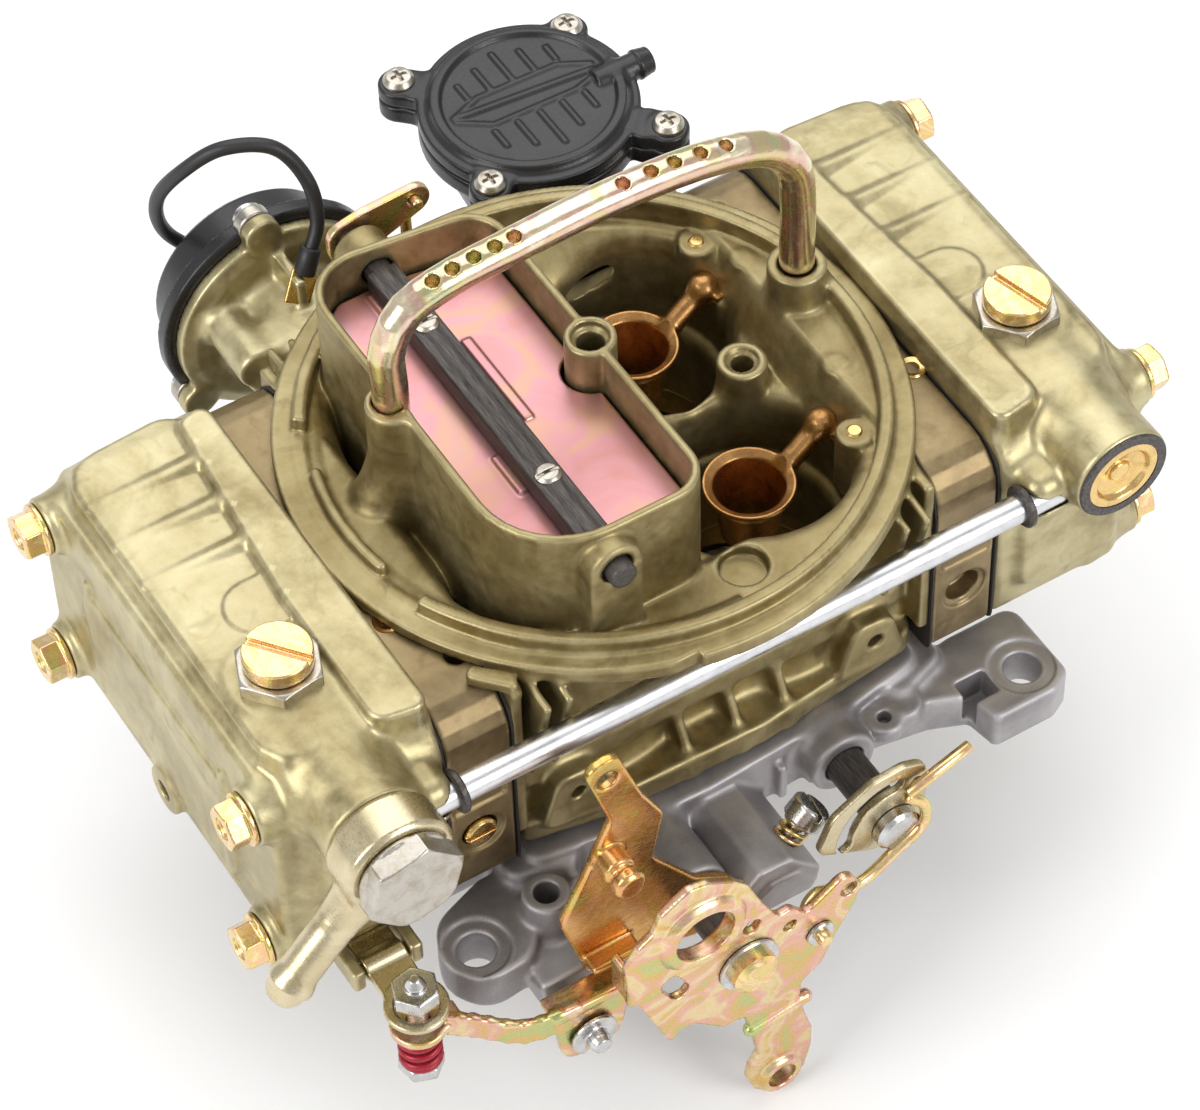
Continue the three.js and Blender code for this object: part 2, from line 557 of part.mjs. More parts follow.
function pumpLever() {
  const ring = bar("z", [PUMP_BOLT.x, PUMP_BOLT.y], 7.2, 11, 12.6, 20);
  const strap = block(-95, -70, 11, -85, -50, 12.6);
  const inner = block(-95, -51, 6.8, -85, -34, 8.4).add(block(-95, -51, 6.8, -85, -49.4, 12.6));
  const barrel = bar("x", [-57.5, 11.2], 2.8, -95, -85, 14);
  const body = join(ring, strap, inner, barrel);
  return cut(body, bar("z", [PUMP_BOLT.x, PUMP_BOLT.y], 4.8, 5, 20, 16), bar("x", [-57.5, 11.2], 1.5, -100, -80, 12));
}

function pumpCover() {
  const disc = bar("z", [-90, -33], 15.4, 11.4, BOWL_BOTTOM - GAP, 20);
  const earA = block(-98.6, -60.5, 8.4, -95.6, -44, 14.4);
  const earB = block(-84.4, -60.5, 8.4, -81.4, -44, 14.4);
  const pin = bar("x", [-57.5, 11.2], 1.3, -97, -83, 12);
  return join(disc, earA, earB, pin);
}

// ---------------------------------------------------------------- metering blocks and fuel bowls
const blockOutline = (grow = 0) =>
  outline([
    [-BLOCK_Y - grow, 17 - grow, 3], [BLOCK_Y + grow, 17 - grow, 3], [BLOCK_Y + grow, 74 + grow, 12], [-BLOCK_Y - grow, 74 + grow, 12],
  ]);


function meteringBlock(sx) {
  const body = slab("x", blockOutline(), ...span(sx, BLOCK_IN, BLOCK_OUT));
  const needleHole = bar("y", [sx * 62.3, 33.4], 4, -56, -48, 16);
  return cut(body, needleHole, bar("y", [sx * 62.3, 33.4], 4, 56, 48, 16), ...bowlScrewWays(sx));
}

const bowlScrewWays = (sx) =>
  [-1, 1].flatMap((sy) => SCREW_Z.map((z) => bar("x", [sy * SCREW_Y, z], 3, ...span(sx, 50, 120), 8)));

function gasket(sx, near, far) {
  const sheet = slab("x", blockOutline(0.2), ...span(sx, near, far));
  const window = slab("x", rectangle(-38, 26, 38, 62, 5), ...span(sx, near - 1, far + 1));
  return cut(sheet, window, ...bowlScrewWays(sx));
}

function bowl(sx) {
  const flank = outline([
    [-55, 20, 5], [-50, BOWL_BOTTOM, 4], [50, BOWL_BOTTOM, 4], [55, 20, 5], [55, 70, 9], [46, BOWL_TOP, 6], [-46, BOWL_TOP, 6], [-55, 70, 9],
  ]);
  const noseOutline = outline([[-53, 19, 5], [53, 19, 5], [53, 66, 9], [44, 73.5, 8], [-44, 73.5, 8], [-53, 66, 9]]);
  let body = slab("x", flank, ...span(sx, BOWL_IN, 103));
  body = body.add(slab("x", noseOutline, ...span(sx, 102, BOWL_OUT)));
  for (const sy of [-1, 1]) {
    for (const z of SCREW_Z) body = body.add(bar("x", [sy * SCREW_Y, z], 7, ...span(sx, 100, 112), 10));
  }
  const inletEnd = sx < 0 ? -65 : -69;
  body = body.add(bar("y", [sx * INLET.x, INLET.z], INLET.r, inletEnd, -44, 16));
  const lobe = span(sx, 72, 90);
  body = body.add(block(lobe[0], -64.8, 56.5, lobe[1], -50, 69.5));
  const cavity = slab("x", rectangle(-46, 20, 46, 73, 8), ...span(sx, BOWL_IN - 2, 104));
  const valveWay = bar("z", [sx * VALVE.x, VALVE.y], 6.2, 70, 90, 12);
  const tubeWay = bar("x", [TRANSFER.y, TRANSFER.z], TRANSFER.r + GAP, ...span(sx, 60, 84), 12);
  const inletWay = bar("y", [sx * INLET.x, INLET.z], sx < 0 ? 6.6 : 9.6, -75, sx < 0 ? -50 : -60, 12);
  // Posts that the long screws pass through stand inside the cavity.
  const posts = [-1, 1].flatMap((sy) => SCREW_Z.map((z) => bar("x", [sy * SCREW_Y, z], 6.5, ...span(sx, BOWL_IN, 105), 8)));
  body = join(body.subtract(cavity), ...posts);
  return cut(body, valveWay, tubeWay, inletWay, ...bowlScrewWays(sx));
}

function bowlScrew(sx, sy, z) {
  const c = [sy * SCREW_Y, z];
  const stem = bar("x", c, 2.5, ...span(sx, 54.5, 113), 8);
  const washer = bar("x", c, 6, ...span(sx, 112.3, 113.4), 12);
  return join(stem, washer, hex("x", c, 9.5, ...span(sx, 113.2, 118)));
}

function float(sx) {
  const pontoon = slab("x", rectangle(-8, 36, 38, 54, 6), ...span(sx, 76, 98));
  const arm = block(...armBox(sx));
  return pontoon.add(arm);
}
const armBox = (sx) => {
  const [a, b] = span(sx, 84, 90);
  return [a, -36, 50.5, b, -6, 52.5];
};

function inletNut(sx) {
  const c = [sx * VALVE.x, VALVE.y];
  const stem = bar("z", c, 5.6, 56, 80, 20);
  return cut(join(stem, hex("z", c, 17.4, BOWL_TOP + GAP, 83.6)), bar("z", c, 3.2, 70, 90, 16));
}

function lockScrew(sx) {
  const c = [sx * VALVE.x, VALVE.y];
  const head = bar("z", c, 7.6, 83.6 + GAP, 88.2, 20);
  const slot = block(c[0] - 9, c[1] - 0.9, 86.6, c[0] + 9, c[1] + 0.9, 90);
  return join(head, bar("z", c, 2.8, 74, 85, 14)).subtract(slot);
}

const BARB_WAY = new THREE.Vector3(-28, 0, -30).normalize(); // the hose barb slopes down and forwards

function banjo() {
  const ring = bar("y", [-INLET.x, INLET.z], 12.6, -75.6, -65 - GAP, 22);
  const centre = new THREE.Vector3(-INLET.x, -70.5, INLET.z);
  const along = (distance) => centre.clone().addScaledVector(BARB_WAY, distance);
  const barb = strut(along(8), along(40), 4.5, 18);
  const bead = strut(along(38), along(41), 5.4, 18);
  const bore = bar("y", [-INLET.x, INLET.z], 6.5, -80, -60, 20);
  return cut(join(ring, barb, bead), bore, strut(along(10), along(43), 3.1, 14));
}
function banjoBolt() {
  const c = [-INLET.x, INLET.z];
  return hex("y", c, 20, -82, -75.6 - GAP).add(bar("y", c, 6, -77, -53, 20));
}

function inletPlug() {
  return bar("y", [INLET.x, INLET.z], 9.2, -69.6, -60.5);
}

// ---------------------------------------------------------------- assembly
add("throttle_body", throttleBody(), "grayCast");
add("base_gasket", baseGasket(), "gasket");
add("main_body", mainBody(), "goldCast");
for (const [end, sx] of ENDS) {
  add(end + "_metering_block", meteringBlock(sx), "goldCast");
  add(end + "_block_gasket", gasket(sx, BODY_X + 0.1, BLOCK_IN - 0.1), "gasket");
  add(end + "_bowl_gasket", gasket(sx, BLOCK_OUT + 0.1, BOWL_IN - 0.1), "gasket");
  add(end + "_bowl", bowl(sx), "goldCast");
  add(end + "_float", float(sx), "float");
  add(end + "_inlet_nut", inletNut(sx), "steel");
  add(end + "_lock_screw", lockScrew(sx), "zinc");
  SCREW_Z.forEach((z, i) => {
    for (const sy of [-1, 1]) {
      const place = (i ? "upper" : "lower") + (sy < 0 ? "_left" : "_right");
      add(end + "_bowl_screw_" + place, bowlScrew(sx, sy, z), "zinc");
    }
  });
  add(end + "_booster_left", booster(sx, -1), "brass");
  add(end + "_booster_right", booster(sx, 1), "brass");
  add(end + "_plate_left", throttlePlate(sx, -1), "brass");
  add(end + "_plate_right", throttlePlate(sx, 1), "brass");
}
add("transfer_tube", bar("x", [TRANSFER.y, TRANSFER.z], TRANSFER.r, -83, 83), "tube");
add("inlet_banjo", banjo(), "zinc");
add("banjo_bolt", banjoBolt(), "zinc");
add("secondary_inlet_plug", inletPlug(), "brass");
add("vent_tube", sweep(VENT_ROUTE, round(VENT.r, 8), 24), "zinc");
add("choke_shaft", chokeShaft(), "darkSteel");
add("choke_plate", chokePlate(), "plateZinc");
add("choke_lever", chokeLever(), "plateZinc");
add("choke_rod", sweep(CHOKE_ROD_ROUTE, round(1.3, 6), 14), "zinc");
add("choke_housing", chokeHousing(), "goldCast");
add("choke_cap", chokeCap(), "black");
add("choke_wire", sweep(WIRE_ROUTE, round(1.7, 8), 24), "black");
add("diaphragm_housing", diaphragmHousing(), "black");
add("diaphragm_cover", diaphragmCover(), "black");
add("diaphragm_rod", bar("z", [DIAPHRAGM.x, DIAPHRAGM.y], 2, 2, DIAPHRAGM.top - 27, 12), "steel");
add("primary_throttle_shaft", primaryShaft(), "darkSteel");
add("secondary_throttle_shaft", secondaryShaft(), "darkSteel");
add("throttle_lever", throttleLever(), "zinc");
add("kickdown_lever", kickdownLever(), "zinc");
add("throttle_link", sweep(LINK_ROUTE, round(1.4, 6), 18), "zinc");
add("secondary_lever", secondaryLever(), "zinc");
add("idle_screw", idleBar(2.5, -13, 15).add(idleBar(4.6, 14, 19, 20)), "steel");
add("pump_arm", pumpArm(), "zinc");
add("pump_pin", pumpPin(), "steel");
add("pump_bolt", pumpBolt(), "steel");
add("pump_lever", pumpLever(), "brass");
add("pump_cover", pumpCover(), "goldCast");

export default carburetor;
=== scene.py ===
"""A four-barrel carburetor's looks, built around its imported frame. Sizes are in millimetres, +Z up."""

import math

import bmesh
import bpy
import numpy as np
from mathutils import Matrix, Vector


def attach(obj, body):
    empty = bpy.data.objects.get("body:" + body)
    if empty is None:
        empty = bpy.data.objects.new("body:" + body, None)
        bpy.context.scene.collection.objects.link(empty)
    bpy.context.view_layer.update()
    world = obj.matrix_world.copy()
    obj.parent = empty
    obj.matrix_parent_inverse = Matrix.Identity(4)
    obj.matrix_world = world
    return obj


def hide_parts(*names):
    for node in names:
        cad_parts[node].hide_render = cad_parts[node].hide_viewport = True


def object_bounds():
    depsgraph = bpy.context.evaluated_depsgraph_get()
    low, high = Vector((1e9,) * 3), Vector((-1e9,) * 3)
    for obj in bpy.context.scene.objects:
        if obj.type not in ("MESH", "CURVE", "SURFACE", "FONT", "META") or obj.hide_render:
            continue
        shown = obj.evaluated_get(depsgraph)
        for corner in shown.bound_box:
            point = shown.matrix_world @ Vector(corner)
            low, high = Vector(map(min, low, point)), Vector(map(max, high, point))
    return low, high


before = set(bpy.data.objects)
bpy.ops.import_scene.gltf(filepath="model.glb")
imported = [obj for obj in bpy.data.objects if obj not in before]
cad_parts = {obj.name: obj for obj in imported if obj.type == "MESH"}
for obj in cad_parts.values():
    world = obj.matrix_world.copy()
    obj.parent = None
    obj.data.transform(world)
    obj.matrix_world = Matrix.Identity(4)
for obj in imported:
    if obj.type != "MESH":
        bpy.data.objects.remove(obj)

cad_box = [list(map(float, corner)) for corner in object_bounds()]
MM = 0.001
BODY = "carburetor_body"

# ---------------------------------------------------------------- camera
CAMERA_PLACE = (-330.263, -568.423, 833.615)
CAMERA_RIGHT = (0.851105, -0.524594, -0.020531)
CAMERA_DOWN = (-0.417299, -0.652264, -0.632783)
CAMERA_AHEAD = (0.318562, 0.547132, -0.774057)


def set_camera():
    lens = bpy.data.cameras.new("camera")
    lens.sensor_width = 36
    lens.lens = 138.6
    lens.clip_start = 0.05
    lens.clip_end = 20
    camera = bpy.data.objects.new("camera", lens)
    up = [-c for c in CAMERA_DOWN]
    back = [-c for c in CAMERA_AHEAD]
    place = [c * MM for c in CAMERA_PLACE]
    rows = [[CAMERA_RIGHT[i], up[i], back[i], place[i]] for i in range(3)]
    camera.matrix_world = Matrix(rows + [[0, 0, 0, 1]])
    bpy.context.scene.collection.objects.link(camera)
    bpy.context.scene.camera = camera


# ---------------------------------------------------------------- finishes
class Wire:
    """An output of a finish's nodes; arithmetic on it adds Math nodes."""

    def __init__(self, finish, socket):
        self.finish = finish
        self.socket = socket

    def math(self, operation, first, second):
        return self.finish.node("ShaderNodeMath", {"operation": operation}, {0: first, 1: second})

    def __add__(self, other):
        return self.math("ADD", self, other)

    def __sub__(self, other):
        return self.math("SUBTRACT", self, other)

    def __rsub__(self, other):
        return self.math("SUBTRACT", other, self)

    def __mul__(self, other):
        return self.math("MULTIPLY", self, other)

    __radd__ = __add__
    __rmul__ = __mul__


class Finish:
    """A procedural finish; places on the piece are in millimetres."""

    def __init__(self, name):
        self.material = bpy.data.materials.new(name)
        self.material.use_nodes = True
        self.nodes = self.material.node_tree.nodes
        self.links = self.material.node_tree.links
        self.nodes.clear()
        place = self.node("ShaderNodeTexCoord", out="Object")
        self.place = self.node(
            "ShaderNodeVectorMath", {"operation": "SCALE"}, {"Vector": place, "Scale": 1000.0}
        )

    def node(self, kind, settings=(), inputs=(), out=0):
        made = self.nodes.new(kind)
        for key, value in dict(settings).items():
            if key == "stops":
                ramp = made.color_ramp.elements
                while len(ramp) < len(value):
                    ramp.new(0.5)
                for stop, (at, colour) in zip(ramp, value):
                    stop.position = at
                    stop.color = (*colour, 1)
            else:
                setattr(made, key, value)
        for key, value in dict(inputs).items():
            if isinstance(value, Wire):
                self.links.new(value.socket, made.inputs[key])
            else:
                made.inputs[key].default_value = value
        return Wire(self, made.outputs[out])

    def noise(self, scale, detail=3.0, rough=0.55, stretch=None, bend=0.0):
        place = self.place
        if stretch:
            place = self.node(
                "ShaderNodeVectorMath", {"operation": "MULTIPLY"}, {0: place, 1: stretch}
            )
        settings = {"Vector": place, "Scale": scale, "Detail": detail, "Roughness": rough,
            "Distortion": bend}
        return self.node("ShaderNodeTexNoise", inputs=settings)

    def ramp(self, factor, *stops):
        return self.node("ShaderNodeValToRGB", {"stops": stops}, {0: factor})

    def level(self, factor, low, high, to_low=0.0, to_high=1.0):
        settings = {"From Min": low, "From Max": high, "To Min": to_low, "To Max": to_high}
        return self.node("ShaderNodeMapRange", inputs={"Value": factor, **settings})

    def mix(self, factor, first, second):
        colours = [c if isinstance(c, Wire) else (*c, 1) for c in (first, second)]
        return self.node("ShaderNodeMix", {"data_type": "RGBA"},
            {0: factor, 6: colours[0], 7: colours[1]}, 2)

    def edges(self, low=0.505, high=0.56):
        return self.level(self.node("ShaderNodeNewGeometry", out="Pointiness"), low, high)

    def bump(self, height, depth, strength=1.0):
        return self.node(
            "ShaderNodeBump", inputs={"Strength": strength, "Distance": depth * MM, "Height": height}
        )

    def done(self, **sockets):
        names = {key.replace("_", " ").title(): value for key, value in sockets.items()}
        names = {key.replace("Ior", "IOR"): value for key, value in names.items()}
        for key in ("Base Color", "Emission Color"):
            if isinstance(names.get(key), tuple):
                names[key] = (*names[key], 1)
        surface = self.node("ShaderNodeBsdfPrincipled", inputs=names)
        output = self.nodes.new("ShaderNodeOutputMaterial")
        self.links.new(surface.socket, output.inputs["Surface"])
        return self.material


def chromated_casting(name, light, middle, dark, rough=0.42):
    """Sand-fine zinc casting under a clear gold chromate, with cloudy patches and paler edges."""
    f = Finish(name)
    clouds = f.noise(0.035, 4.0, 0.6, bend=0.6)
    mottle = f.noise(0.22, 5.0, 0.65)
    speck = f.noise(2.6, 2.0, 0.6)
    tone = f.ramp(clouds * 0.62 + mottle * 0.38, (0.34, dark), (0.5, middle), (0.66, light))
    tone = f.mix(f.level(f.noise(0.09, 3.0, 0.6, bend=1.2), 0.56, 0.72, 0.0, 0.55), tone, dark)
    tone = f.mix(f.edges() * 0.5, tone, light)
    tone = f.mix(f.level(speck, 0.62, 0.8, 0.0, 0.35), tone, dark)
    grain = speck * 0.5 + f.noise(0.9, 3.0, 0.6) * 0.5
    return f.done(
        base_color=tone,
        metallic=0.82,
        roughness=f.level(mottle, 0.3, 0.7, rough - 0.07, rough + 0.1),
        normal=f.bump(grain, 0.09, 0.55),
    )


def gray_casting(name):
    """Bare die casting with a dull purple-gray wash and a fine shot-blast grain."""
    f = Finish(name)
    clouds = f.noise(0.05, 4.0, 0.6, bend=0.4)
    speck = f.noise(3.2, 2.0, 0.7)
    tone = f.ramp(clouds, (0.35, (0.25, 0.232, 0.238)), (0.65, (0.42, 0.40, 0.405)))
    tone = f.mix(f.level(speck, 0.55, 0.75, 0.0, 0.5), tone, (0.50, 0.48, 0.485))
    tone = f.mix(f.edges() * 0.6, tone, (0.56, 0.54, 0.55))
    grain = speck * 0.6 + f.noise(1.1, 3.0, 0.6) * 0.4
    return f.done(base_color=tone, metallic=0.72, roughness=0.5, normal=f.bump(grain, 0.12, 0.6))


def rainbow_plating(name, gold, pink, green, pale, rough=0.26, scale=0.07, stretch=(1, 1, 1)):
    """Bright yellow chromate over zinc, drifting between gold, pink and green."""
    f = Finish(name)
    film = f.noise(scale, 2.5, 0.55, stretch=stretch, bend=1.6)
    tone = f.ramp(film, (0.3, gold), (0.42, pale), (0.5, pink), (0.58, gold), (0.68, green), (0.8, gold))
    tone = f.mix(f.level(f.noise(0.3, 3.0, 0.5), 0.45, 0.75, 0.0, 0.25), tone, gold)
    scratches = f.noise(1.6, 3.0, 0.6, stretch=(0.25, 1, 1))
    return f.done(
        base_color=tone,
        metallic=0.95,
        roughness=f.level(scratches, 0.3, 0.75, rough - 0.06, rough + 0.12),
        normal=f.bump(scratches, 0.01, 0.25),
    )


def bright_metal(name, colour, tarnish, rough=0.24, scale=0.3, stretch=(1, 1, 1), metallic=1.0):
    f = Finish(name)
    stain = f.noise(scale, 4.0, 0.6, bend=0.5)
    lines = f.noise(2.2, 3.0, 0.6, stretch=stretch)
    tone = f.mix(f.level(stain, 0.42, 0.72, 0.0, 0.75), colour, tarnish)
    return f.done(
        base_color=tone,
        metallic=metallic,
        roughness=f.level(lines, 0.3, 0.7, rough - 0.05, rough + 0.1),
        normal=f.bump(lines, 0.015, 0.5),
    )


def phosphated_steel(name, stretch=(1, 1, 1)):
    """Charcoal coated steel with a drawn grain."""
    f = Finish(name)
    grain = f.noise(1.4, 4.0, 0.65, stretch=stretch)
    tone = f.ramp(grain, (0.3, (0.03, 0.027, 0.026)), (0.7, (0.125, 0.11, 0.10)))
    return f.done(base_color=tone, metallic=0.6, roughness=0.48, normal=f.bump(grain, 0.05, 0.7))


def moulded_plastic(name, colour=(0.012, 0.011, 0.012), rough=0.3):
    f = Finish(name)
    skin = f.noise(1.8, 3.0, 0.6)
    tone = f.mix(f.level(f.noise(0.08, 3.0), 0.4, 0.7, 0.0, 0.6), colour, tuple(c * 1.9 for c in colour))
    return f.done(
        base_color=tone,
        roughness=f.level(skin, 0.3, 0.7, rough - 0.05, rough + 0.1),
        normal=f.bump(skin, 0.03, 0.4),
    )


def plain_coat(name, colour, rough, metallic=0.0, grain=1.5, depth=0.04):
    f = Finish(name)
    skin = f.noise(grain, 3.0, 0.6)
    tone = f.mix(f.level(skin, 0.4, 0.7), colour, tuple(c * 0.72 for c in colour))
    return f.done(base_color=tone, metallic=metallic, roughness=rough, normal=f.bump(skin, depth, 0.5))


def choke_film(name):
    """Heavy pink chromate on the choke plate, running to yellow, green and blue at its near edge."""
    f = Finish(name)
    across = f.node("ShaderNodeSeparateXYZ", inputs={0: f.place}, out=0)
    drift = f.noise(0.05, 3.0, 0.55, bend=1.2)
    pink = f.ramp(drift, (0.3, (0.50, 0.235, 0.215)), (0.5, (0.55, 0.27, 0.29)),
        (0.62, (0.54, 0.31, 0.22)), (0.75, (0.50, 0.28, 0.32)))
    edge = f.level(across + drift * 14.0, -37.5, -30.0)
    rim = f.ramp(
        edge + f.noise(0.22, 3.0, 0.6) * 0.35 - 0.17,
        (0.0, (0.46, 0.35, 0.10)), (0.3, (0.44, 0.43, 0.22)), (0.5, (0.26, 0.43, 0.42)),
        (0.66, (0.42, 0.35, 0.42)), (0.95, (0.54, 0.27, 0.28)),
    )
    tone = f.mix(edge, rim, pink)
    lines = f.noise(1.2, 3.0, 0.6, stretch=(1, 0.2, 1))
    return f.done(base_color=tone, metallic=0.8, roughness=0.33, normal=f.bump(lines, 0.015, 0.4))


finishes = {
    "body_cast": chromated_casting(
        "gold_casting_body", (0.43, 0.365, 0.20), (0.30, 0.24, 0.112), (0.175, 0.13, 0.052)),
    "bowl_cast": chromated_casting(
        "gold_casting_bowl", (0.56, 0.505, 0.31), (0.43, 0.37, 0.205), (0.25, 0.20, 0.095), 0.38),
    "block_cast": chromated_casting(
        "gold_casting_block", (0.36, 0.28, 0.15), (0.25, 0.185, 0.095), (0.15, 0.108, 0.055), 0.4),
    "gray_cast": gray_casting("gray_casting"),
    "lever": rainbow_plating(
        "plated_lever", (0.66, 0.44, 0.16), (0.72, 0.40, 0.33), (0.45, 0.52, 0.22), (0.74, 0.60, 0.34)),
    "copper_lever": rainbow_plating(
        "plated_bracket", (0.62, 0.33, 0.08), (0.66, 0.36, 0.16), (0.55, 0.44, 0.14), (0.70, 0.42, 0.16),
        0.24),
    "vent": rainbow_plating(
        "plated_vent_tube", (0.66, 0.56, 0.30), (0.70, 0.46, 0.38), (0.55, 0.56, 0.34), (0.80, 0.73, 0.52),
        0.2, 0.05),
    "zinc_gold": rainbow_plating(
        "plated_screw", (0.74, 0.56, 0.20), (0.74, 0.46, 0.28), (0.62, 0.62, 0.26), (0.80, 0.66, 0.34),
        0.22, 0.16),
    "banjo": bright_metal("pale_gold_fitting", (0.62, 0.54, 0.36), (0.44, 0.36, 0.20), 0.28, 0.12),
    "brass": bright_metal("brass", (0.76, 0.53, 0.22), (0.55, 0.36, 0.12), 0.22),
    "booster": bright_metal("dipped_brass", (0.50, 0.27, 0.10), (0.25, 0.12, 0.04), 0.3, 0.25),
    "steel": bright_metal("bright_steel", (0.60, 0.60, 0.61), (0.42, 0.40, 0.36), 0.22),
    "nut": bright_metal("plated_nut", (0.50, 0.47, 0.42), (0.33, 0.28, 0.20), 0.3),
    "tube": bright_metal("drawn_aluminium", (0.66, 0.66, 0.67), (0.50, 0.50, 0.52), 0.3, 0.2, (0.12, 1, 1)),
    "shaft": phosphated_steel("phosphated_shaft", (2.2, 0.16, 2.2)),
    "dark": phosphated_steel("phosphated_bolt"),
    "plastic": moulded_plastic("black_moulding"),
    "cable": moulded_plastic("black_sleeving", rough=0.42),
    "gasket": plain_coat("gasket_fibre", (0.030, 0.026, 0.024), 0.85),
    "red": plain_coat("red_spring", (0.34, 0.008, 0.022), 0.32, 0.25),
    "choke": choke_film("choke_plate_film"),
    "float": bright_metal("float_brass", (0.62, 0.45, 0.18), (0.42, 0.28, 0.10), 0.35),
}


# ---------------------------------------------------------------- solids described by their depth
# Each shape is a function of a place that gives how far the place is outside it; inside is negative.
AXES = {"x": (1, 2, 0), "y": (0, 2, 1), "z": (0, 1, 2)}


def along(axis, place):
    return [place[i] for i in AXES[axis]]


def rounded_meeting(across, length, r):
    """The depth of a prism from its depth across and along, with its rims rounded by r."""
    across = across + r
    length = length + r
    outside = np.sqrt(np.maximum(across, 0) ** 2 + np.maximum(length, 0) ** 2)
    return outside + np.minimum(np.maximum(across, length), 0) - r


def brick(lo, hi, r=1.0):
    mid = [(a + b) / 2 for a, b in zip(lo, hi)]
    half = [(b - a) / 2 - r for a, b in zip(lo, hi)]

    def depth(*place):
        gaps = [np.abs(p - m) - h for p, m, h in zip(place, mid, half)]
        outside = np.sqrt(sum(np.maximum(g, 0) ** 2 for g in gaps))
        return outside + np.minimum(np.maximum(np.maximum(gaps[0], gaps[1]), gaps[2]), 0) - r

    return depth


def drum(axis, centre, radius, lo, hi, r=0.8, end_radius=None):
    """A round bar; end_radius is its radius at hi where it tapers."""
    end = radius if end_radius is None else end_radius
    slope = (end - radius) / (hi - lo)
    lean = 1 / math.sqrt(1 + slope * slope)

    def depth(*place):
        u, v, w = along(axis, place)
        out = np.sqrt((u - centre[0]) ** 2 + (v - centre[1]) ** 2)
        wall = (out - radius - slope * (w - lo)) * lean
        return rounded_meeting(wall, np.abs(w - (lo + hi) / 2) - (hi - lo) / 2, r)

    return depth


def outline_depth(points, u, v):
    nearest = np.full(u.shape, 1e9, np.float32)
    inside = np.zeros(u.shape, bool)
    for (ax, ay), (bx, by) in zip(points, points[1:] + points[:1]):
        ex, ey = bx - ax, by - ay
        share = np.clip(((u - ax) * ex + (v - ay) * ey) / (ex * ex + ey * ey), 0, 1)
        nearest = np.minimum(nearest, (u - ax - ex * share) ** 2 + (v - ay - ey * share) ** 2)
        if ey:
            inside ^= ((ay > v) != (by > v)) & (u < ax + ex * (v - ay) / ey)
    return np.where(inside, -1, 1) * np.sqrt(nearest)


def plate(axis, points, lo, hi, r=0.8):
    points = [tuple(map(float, p)) for p in points]

    def depth(*place):
        u, v, w = along(axis, place)
        return rounded_meeting(outline_depth(points, u, v), np.abs(w - (lo + hi) / 2) - (hi - lo) / 2, r)

    return depth


def turned(axis, centre, profile, r=0.0):
    """A lathe-turned solid from a closed outline of (radius, height)."""
    profile = [tuple(map(float, p)) for p in profile]

    def depth(*place):
        u, v, w = along(axis, place)
        out = np.sqrt((u - centre[0]) ** 2 + (v - centre[1]) ** 2)
        return outline_depth(profile, out, w) - r

    return depth


def rail(points, radius, end_radius=None):
    """A round-nosed bar through points, tapering evenly when end_radius is given."""
    end = radius if end_radius is None else end_radius
    count = len(points) - 1

    def depth(x, y, z):
        best = None
        for i, (a, b) in enumerate(zip(points, points[1:])):
            way = [q - p for p, q in zip(a, b)]
            size = sum(w * w for w in way)
            share = np.clip(((x - a[0]) * way[0] + (y - a[1]) * way[1] + (z - a[2]) * way[2]) / size, 0, 1)
            gaps = [p - s - w * share for p, s, w in zip((x, y, z), a, way)]
            here = radius + (end - radius) * (i + share) / count
            gap = np.sqrt(sum(g * g for g in gaps)) - here
            best = gap if best is None else np.minimum(best, gap)
        return best

    return depth


def join(*shapes, k=0.0):
    """Shapes melted together, with fillets of about k."""

    def depth(*place):
        total = shapes[0](*place)
        for shape in shapes[1:]:
            other = shape(*place)
            if k:
                near = np.maximum(k - np.abs(total - other), 0)
                total = np.minimum(total, other) - near * near / (4 * k)
            else:
                total = np.minimum(total, other)
        return total

    return depth


def carve(body, *tools, k=0.0):
    def depth(*place):
        left = body(*place)
        for tool in tools:
            hole = -tool(*place)
            if k:
                near = np.maximum(k - np.abs(left - hole), 0)
                left = np.maximum(left, hole) + near * near / (4 * k)
            else:
                left = np.maximum(left, hole)
        return left

    return depth


def common(*shapes):
    def depth(*place):
        both = shapes[0](*place)
        for shape in shapes[1:]:
            both = np.maximum(both, shape(*place))
        return both

    return depth


def tilted(shape, origin, ahead, side):
    """The shape drawn in its own axes: its x along side, its z along ahead, from origin."""
    z_way = Vector(ahead).normalized()
    y_way = z_way.cross(Vector(side)).normalized()
    x_way = y_way.cross(z_way)

    def depth(x, y, z):
        gap = (x - origin[0], y - origin[1], z - origin[2])
        own = [sum(g * w for g, w in zip(gap, way)) for way in (x_way, y_way, z_way)]
        return shape(*own)

    return depth


def rounded(corners, steps=5):
    """An outline through corner points (x, y, radius), each corner rounded by its radius."""
    points = []
    for i, (x, y, r) in enumerate(corners):
        here = Vector((x, y))
        before = Vector(corners[i - 1][:2]) - here
        after = Vector(corners[(i + 1) % len(corners)][:2]) - here
        if r <= 0:
            points.append((x, y))
            continue
        turn = before.angle(after) / 2
        reach = min(r / math.tan(turn), before.length / 2.01, after.length / 2.01)
        radius = reach * math.tan(turn)
        ways = [before.normalized(), after.normalized()]
        centre = here + (ways[0] + ways[1]).normalized() * (radius / math.sin(turn))
        start, end = [here + way * reach - centre for way in ways]
        sweep = start.angle_signed(end)
        for step in range(steps + 1):
            angle = -sweep * step / steps
            points.append(tuple(centre + Matrix.Rotation(angle, 2) @ start))
    return points


def rectangle(x0, y0, x1, y1, r=0.0):
    return rounded([(x0, y0, r), (x1, y0, r), (x1, y1, r), (x0, y1, r)])


